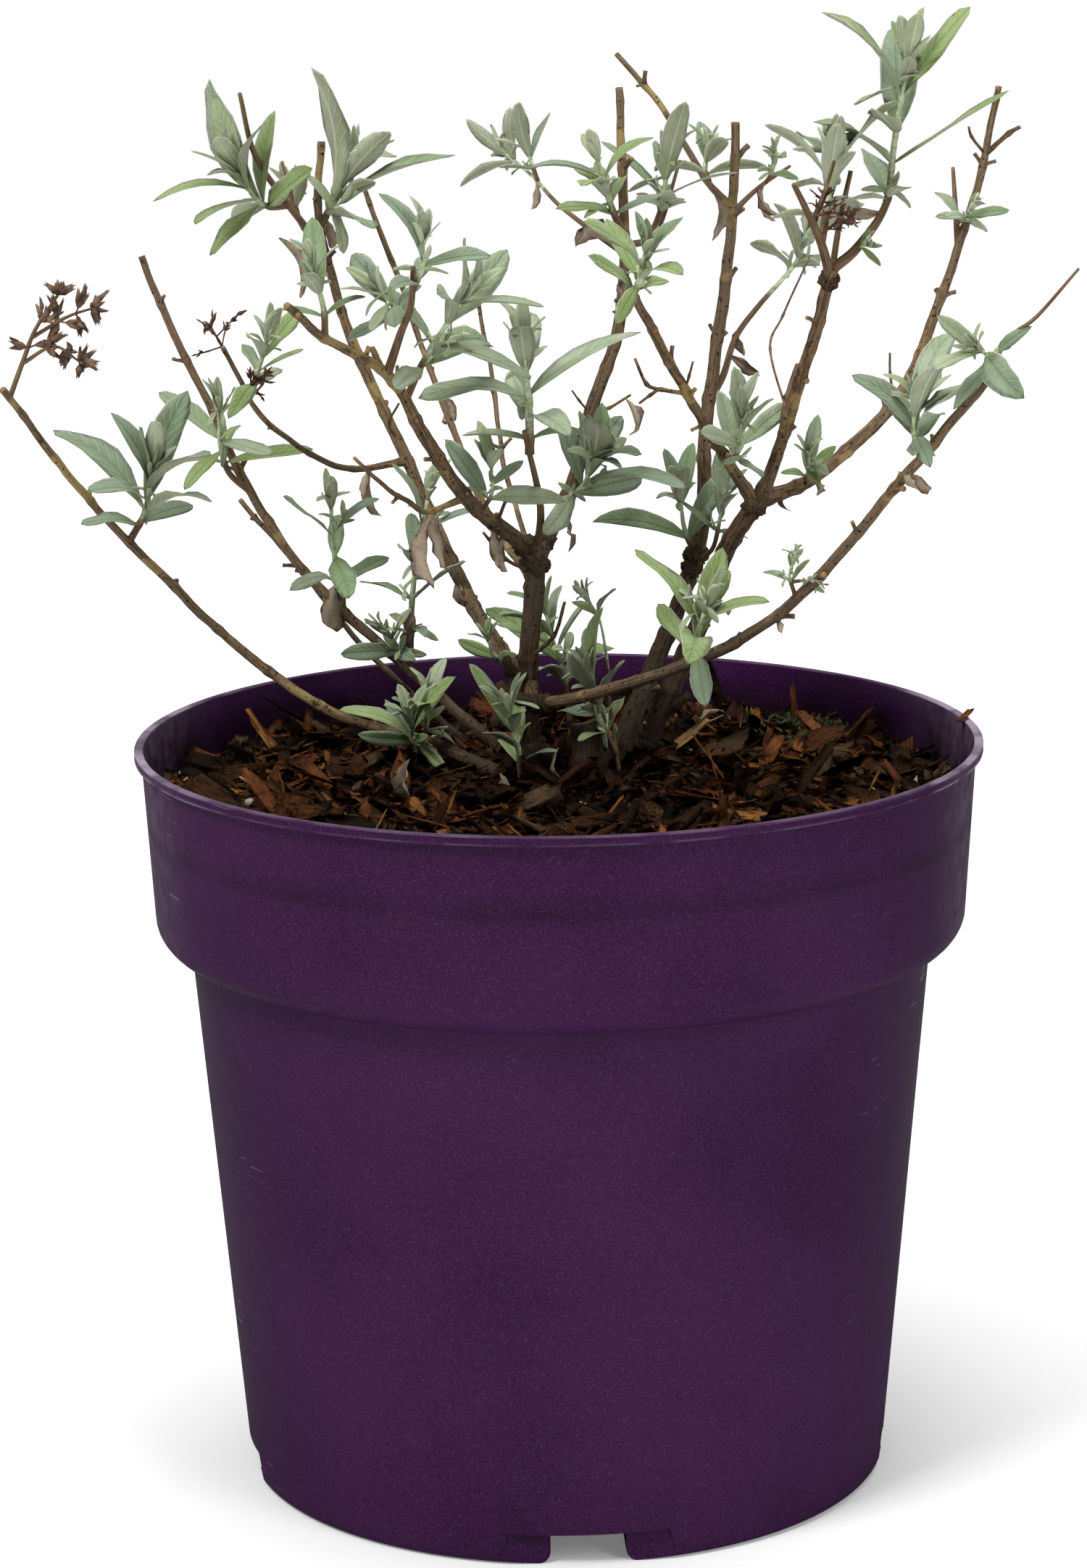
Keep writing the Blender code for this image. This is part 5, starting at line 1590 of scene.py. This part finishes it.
def growWithered(root, way, share, dice):
    # a dead leaf rolled in along its length and drawn up
    length = way.length
    ahead = way.normalized()
    across = (Vector((1, 0, 0)) - ahead.x * ahead).normalized()
    pose = LeafPose(root, ahead, across, dice.uniform(0, 360), 0.01, length, dice.uniform(60, 130), 0)
    shape = growLeaf(pose, 0, dice, (0, 1), share=share, roll=dice.uniform(35, 60))
    crumple = [noise.noise_vector(Vector(p) / 3.2) for p in shape.points]
    across, up, layer = blankPlaces.T
    ease = np.minimum(1, up * 4)[:, None]
    return [shape._replace(points=shape.points + np.array(crumple) * ease * 1.5)]


# Bark mulch

mulch = {
    "edgeHeight": 187.0,
    "middleHeight": 188.5,
    "lump": 1.4,
    "edgeRadius": 110.2,
    "reach": 109.0,
    "seed": 8,
    # size of chip: (how many, blanks, cells across, cells along, lengths, width over length,
    #                thicknesses, tilt, lift above the fine stuff)
    "sizes": {
        "slab": (820, 12, 2, 5, (5.5, 13.5), (0.40, 0.85), (0.9, 2.4), 18, (0.8, 3.0)),
        "flake": (2300, 12, 1, 3, (2.8, 7.5), (0.32, 0.80), (0.6, 1.6), 28, (0.4, 3.0)),
        "crumb": (4200, 10, 1, 1, (1.6, 4.5), (0.30, 0.75), (0.5, 1.3), 30, (0.0, 2.4)),
        "splinter": (700, 4, 1, 2, (4.0, 16.0), (0.04, 0.10), (0.4, 0.8), 12, (1.4, 3.6)),
    },
    "colours": ("1e140c", "321e11", "4b2d19", "643a20", "7c4e2c", "9a6737", "b08a5a", "52412f"),
    "shares": (0.15, 0.24, 0.25, 0.15, 0.08, 0.035, 0.015, 0.08),
    "splinterShares": (0.05, 0.15, 0.20, 0.20, 0.20, 0.12, 0.06, 0.02),
    "fineColour": "110b08",
    "finePale": "25170f",
    "shade": 34.0,  # painted shadow of the bush: the chips are darker this near to the stool
    "mossColour": "4d5a34",
    "stoneColour": "9d998f",
}

uprights = {
    # name: (foot, way to its tip, girth) of splinters that stand out of the mulch
    "stickBack": ((68, 75, 190), (0, 1, 12), 2.4),
    "strawRight": ((45, 3, 191), (-9, 4, 12), 0.8),
    "strawRight2": ((43, 5, 191), (-3, 3, 9), 0.8),
    "strawMiddle": ((12, -42, 191), (5, 3, 6), 0.9),
    "strawLeft": ((-30, -40, 191), (3, 4, 8), 0.8),
    "strawFarLeft": ((-74, -12, 191), (-2, 2, 9), 0.7),
    "strawFarRight": ((82, -20, 191), (4, 2, 7), 0.9),
    "strawFront": ((-8, -70, 191), (-6, 3, 5), 0.8),
}

litter = {
    # name: (root, way to its tip, width over length) of dead leaves on the mulch, and one caught high up
    "paleUpright": ((-40, -20, 203), (0, -2, -12), 0.40),
    "paleScrap": ((-16, -8, 196), (1, -1, -6), 0.55),
    "paleHanging": ((0, 1, 201), (1, -1, -10), 0.22),
    "paleScrap2": ((3, -33, 192), (5, 1, 1), 0.45),
    "leftCurled": ((-77, 75, 332), (6, -3, -17), 0.34),
    "flatLeaf": ((84, -12, 192), (13, 6, 1), 0.42),
    "flatLeafLeft": ((-88, 10, 192), (9, -6, 1), 0.38),
    "flatLeafBack": ((40, 66, 192), (10, 3, 1), 0.40),
}


def chipSkin(name, colour):
    material, tree, shader = newMaterial(name, 0.85)
    shader.inputs["Specular IOR Level"].default_value = 0.06
    streaks = useGroup(tree, fibre, Across=1.6, Along=0.30)
    base = linear(colour)
    dark = tuple(v * 0.34 for v in base)
    pale = tuple(min(1, v * 1.9) for v in base)
    tone = blendColour(tree, ramp(tree, streaks.outputs["Streak"], 0.36, 0.58), dark, base)
    tone = blendColour(tree, maths(tree, "MULTIPLY", ramp(tree, streaks.outputs["Fleck"], 0.56, 0.72), 0.7), tone, pale)
    tree.links.new(tone, shader.inputs["Base Color"])
    bump = addNode(tree, "ShaderNodeBump",
                   sockets={"Strength": 1.0, "Distance": 0.0008, "Height": streaks.outputs["Streak"]})
    tree.links.new(bump.outputs[0], shader.inputs["Normal"])
    return material


def fineSkin():
    material, tree, shader = newMaterial("fineMulch", 0.95)
    shader.inputs["Specular IOR Level"].default_value = 0.1
    patch = useGroup(tree, mottle, Scale=420.0, Low=0.38, High=0.66)
    tree.links.new(blendColour(tree, patch.outputs[0], linear(mulch["fineColour"]), linear(mulch["finePale"])),
                   shader.inputs["Base Color"])
    crumbs = addNode(tree, "ShaderNodeTexNoise",
                     sockets={"Vector": tree.nodes.new("ShaderNodeTexCoord").outputs["Object"], "Scale": 600.0,
                              "Detail": 5.0})
    bump = addNode(tree, "ShaderNodeBump", sockets={"Strength": 1.0, "Distance": 0.002, "Height": crumbs.outputs["Fac"]})
    tree.links.new(bump.outputs[0], shader.inputs["Normal"])
    return material


def chipBlank(dice, across, along):
    # a torn flake, one unit long in z, wide in y and thick in x
    bm = bmesh.new()
    bmesh.ops.create_grid(bm, x_segments=along, y_segments=across, size=0.5)
    offset = Vector([dice.uniform(0, 50) for _ in range(3)])
    narrow = dice.uniform(0.1, 0.6), dice.uniform(0.1, 0.6)
    curl = dice.uniform(-1.6, 1.6)
    for v in bm.verts:
        lengthways, sideways = v.co.x, v.co.y
        taper = narrow[0 if lengthways < 0 else 1] * abs(2 * lengthways) ** 2
        tear = noise.noise_vector(Vector((lengthways * 3, sideways * 5, 0)) + offset)
        height = curl * (sideways**2 + 0.5 * lengthways**2) + 0.9 * tear.z
        v.co = (height, sideways * (1 - taper) + 0.30 * tear.y, lengthways + 0.24 * tear.x)
    bmesh.ops.solidify(bm, geom=bm.faces[:], thickness=0.75)
    for v in bm.verts:
        v.co += Vector([dice.uniform(-1, 1) for _ in range(3)]) * 0.04
    bmesh.ops.recalc_face_normals(bm, faces=bm.faces)
    shape = shapeFrom(bm)
    return shape._replace(grain=shape.points * (3, 9, 12))


def mulchBase():
    m = mulch
    gap = 0.4
    slope = (pot["bodyTopRadius"] - pot["bodyFootRadius"]) / pot["bandFootHeight"]
    foot = pot["bodyFootRadius"] + slope * pot["floorHeight"] - pot["wall"]
    edge = (pot["bandFootRadius"] - pot["bandEdgeRadius"], pot["bandFootHeight"] + pot["bandEdgeRadius"])
    profile = [
        (0, pot["floorHeight"] + gap),
        (foot - gap, pot["floorHeight"] + gap),
        (pot["bodyTopRadius"] - pot["wall"] - gap, pot["bandFootHeight"] + pot["wall"] + gap),
        *arcPoints(edge, pot["bandEdgeRadius"] - pot["wall"] - gap, -80, 0, 4),
        (m["edgeRadius"], m["edgeHeight"]),
    ]
    rings = 16
    for i in range(1, rings + 1):
        share = 1 - i / rings
        height = m["middleHeight"] + (m["edgeHeight"] - m["middleHeight"]) * share
        profile.append((m["edgeRadius"] * share, height))
    base = spinProfile("fineMulch", profile, 96)
    for v in base.data.vertices:
        if v.co.z > (m["edgeHeight"] - 0.1) * mm:
            v.co.z += noise.noise(v.co / mm / 6.0) * m["lump"] * mm
    return base


def layChips(kind, dice):
    count, blanks, across, along, lengths, widths, thicknesses, tiltSpread, lift = mulch["sizes"][kind]
    kinds = [chipBlank(dice, across, along) for _ in range(blanks)]
    shares = mulch["splinterShares" if kind == "splinter" else "shares"]
    chips = []
    for _ in range(count):
        length = lengths[0] + (lengths[1] - lengths[0]) * dice.random() ** 1.8
        radius = min(mulch["reach"] * math.sqrt(dice.random()), mulch["reach"] - length * 0.42)
        angle = dice.uniform(0, math.tau)
        heading = dice.uniform(0, math.tau)
        tilt = math.radians(dice.gauss(0, tiltSpread))
        lie = Vector((math.cos(heading) * math.cos(tilt), math.sin(heading) * math.cos(tilt), math.sin(tilt)))
        share = radius / mulch["edgeRadius"]
        ground = mulch["middleHeight"] + (mulch["edgeHeight"] - mulch["middleHeight"]) * share
        place = (radius * math.cos(angle), radius * math.sin(angle),
                 ground + dice.uniform(*lift) + abs(math.sin(tilt)) * length * 0.2)
        slot = dice.choices(range(len(shares)), shares)[0]
        # painted shadow: near the stool only the two darkest colours
        if radius < mulch["shade"] * dice.uniform(0.6, 1.2):
            slot = min(slot, 1)
        blank = dice.choice(kinds)
        size = (dice.uniform(*thicknesses), length * dice.uniform(*widths), length)
        chip = layFlat(blank, place, lie, size, dice.gauss(0, 0.35))
        shift = np.array([dice.uniform(0, 60) for _ in range(3)])
        points = chip.points
        away = np.hypot(points[:, 0], points[:, 1]).max()
        if away > mulch["edgeRadius"]:
            points = points - np.array((math.cos(angle), math.sin(angle), 0)) * (away - mulch["edgeRadius"])
        chips.append(chip._replace(points=points, slots=np.full(len(blank.sizes), slot), grain=blank.grain + shift))
    return chips


def layFlat(shape, place, lie, size, roll):
    # a flake with its length along the lie, its face up but for the roll
    z = lie.normalized()
    y = Vector((0, 0, 1)).cross(z).normalized()
    turn = np.array((y.cross(z), y, z)).T
    c, s = math.cos(roll), math.sin(roll)
    rolled = np.array(((c, -s, 0), (s, c, 0), (0, 0, 1)))
    points = (shape.points * np.array(size)) @ rolled.T @ turn.T + np.array(place)
    return shape._replace(points=points)


def makeMulch():
    dice = random.Random(mulch["seed"])
    finishPiece(mulchBase(), ["bark_mulch"], [fineSkin()])
    skins = [chipSkin(f"chip{i + 1}", colour) for i, colour in enumerate(mulch["colours"])]
    big = layChips("slab", dice) + layChips("flake", dice)
    finishPiece(joinShapes("mulchChips", big), ["bark_mulch"], skins, smooth=False)
    fine = layChips("crumb", dice) + layChips("splinter", dice)
    blanks = [chipBlank(dice, 1, 3) for _ in range(4)]
    for foot, way, girth in uprights.values():
        blank = dice.choice(blanks)
        way = Vector(way)
        chip = layFlat(blank, Vector(foot) + way / 2, way, (girth, girth, way.length), 0.3)
        fine.append(chip._replace(slots=np.full(len(blank.sizes), 5 if girth < 1 else 4)))
    sliver = layFlat(blanks[0], (113.6, 22, 205.0), Vector((0.35, 1, 0.05)), (1.0, 2.2, 9.0), 0.2)
    fine.append(sliver._replace(slots=np.full(len(blanks[0].sizes), 4)))
    finishPiece(joinShapes("mulchCrumbs", fine), ["bark_mulch"], skins, smooth=False)
    makeMoss(dice)


def makeMoss(dice):
    # tufts of moss at the back, and pale grit
    tufts, stones = [], []
    for _ in range(260):
        root = Vector((dice.gauss(76, 9), dice.gauss(70, 7), 190 + dice.uniform(0, 1.5)))
        if math.hypot(root.x, root.y) > 105:
            continue
        way = Vector((dice.uniform(-1, 1), dice.uniform(-1, 1), dice.uniform(0.3, 1.4))).normalized()
        tufts.append(placed(huskCase, root, way, (1.6, 1.6, dice.uniform(1.5, 3.5)), dice.uniform(0, 6)))
    bm = bmesh.new()
    bmesh.ops.create_icosphere(bm, subdivisions=1, radius=1)
    pebble = shapeFrom(bm)
    for place in [(-83, -20, 191.5), (-104, 22, 190)] + [
            (dice.uniform(-75, 75), dice.uniform(-75, 75), 190.5) for _ in range(14)]:
        size = dice.uniform(0.7, 1.3) if place[2] == 190.5 else 1.9
        shape = placed(pebble, place, (0.2, 0.3, 1), (size, size * 0.8, size * 0.7), dice.uniform(0, 6))
        stones.append(shape._replace(slots=np.full(len(pebble.sizes), 1)))
    finishPiece(joinShapes("mossAndGrit", tufts + stones), ["bark_mulch"],
                [drySkin("moss", mulch["mossColour"], "2a3119"), drySkin("grit", mulch["stoneColour"], "6f6a60")])


# Making

aimCamera()
lightStage()
layFloor()
print("stage laid")
makePot()
makeMulch()
print("pot filled")
limbJoints, limbRoutes = routeLimbs()
limbPaths = makeLimbs(limbJoints)
makeFoliage(limbRoutes, limbPaths)
makeDeadWood(limbPaths)
makeSeedHeads(limbRoutes)
print("bush grown")
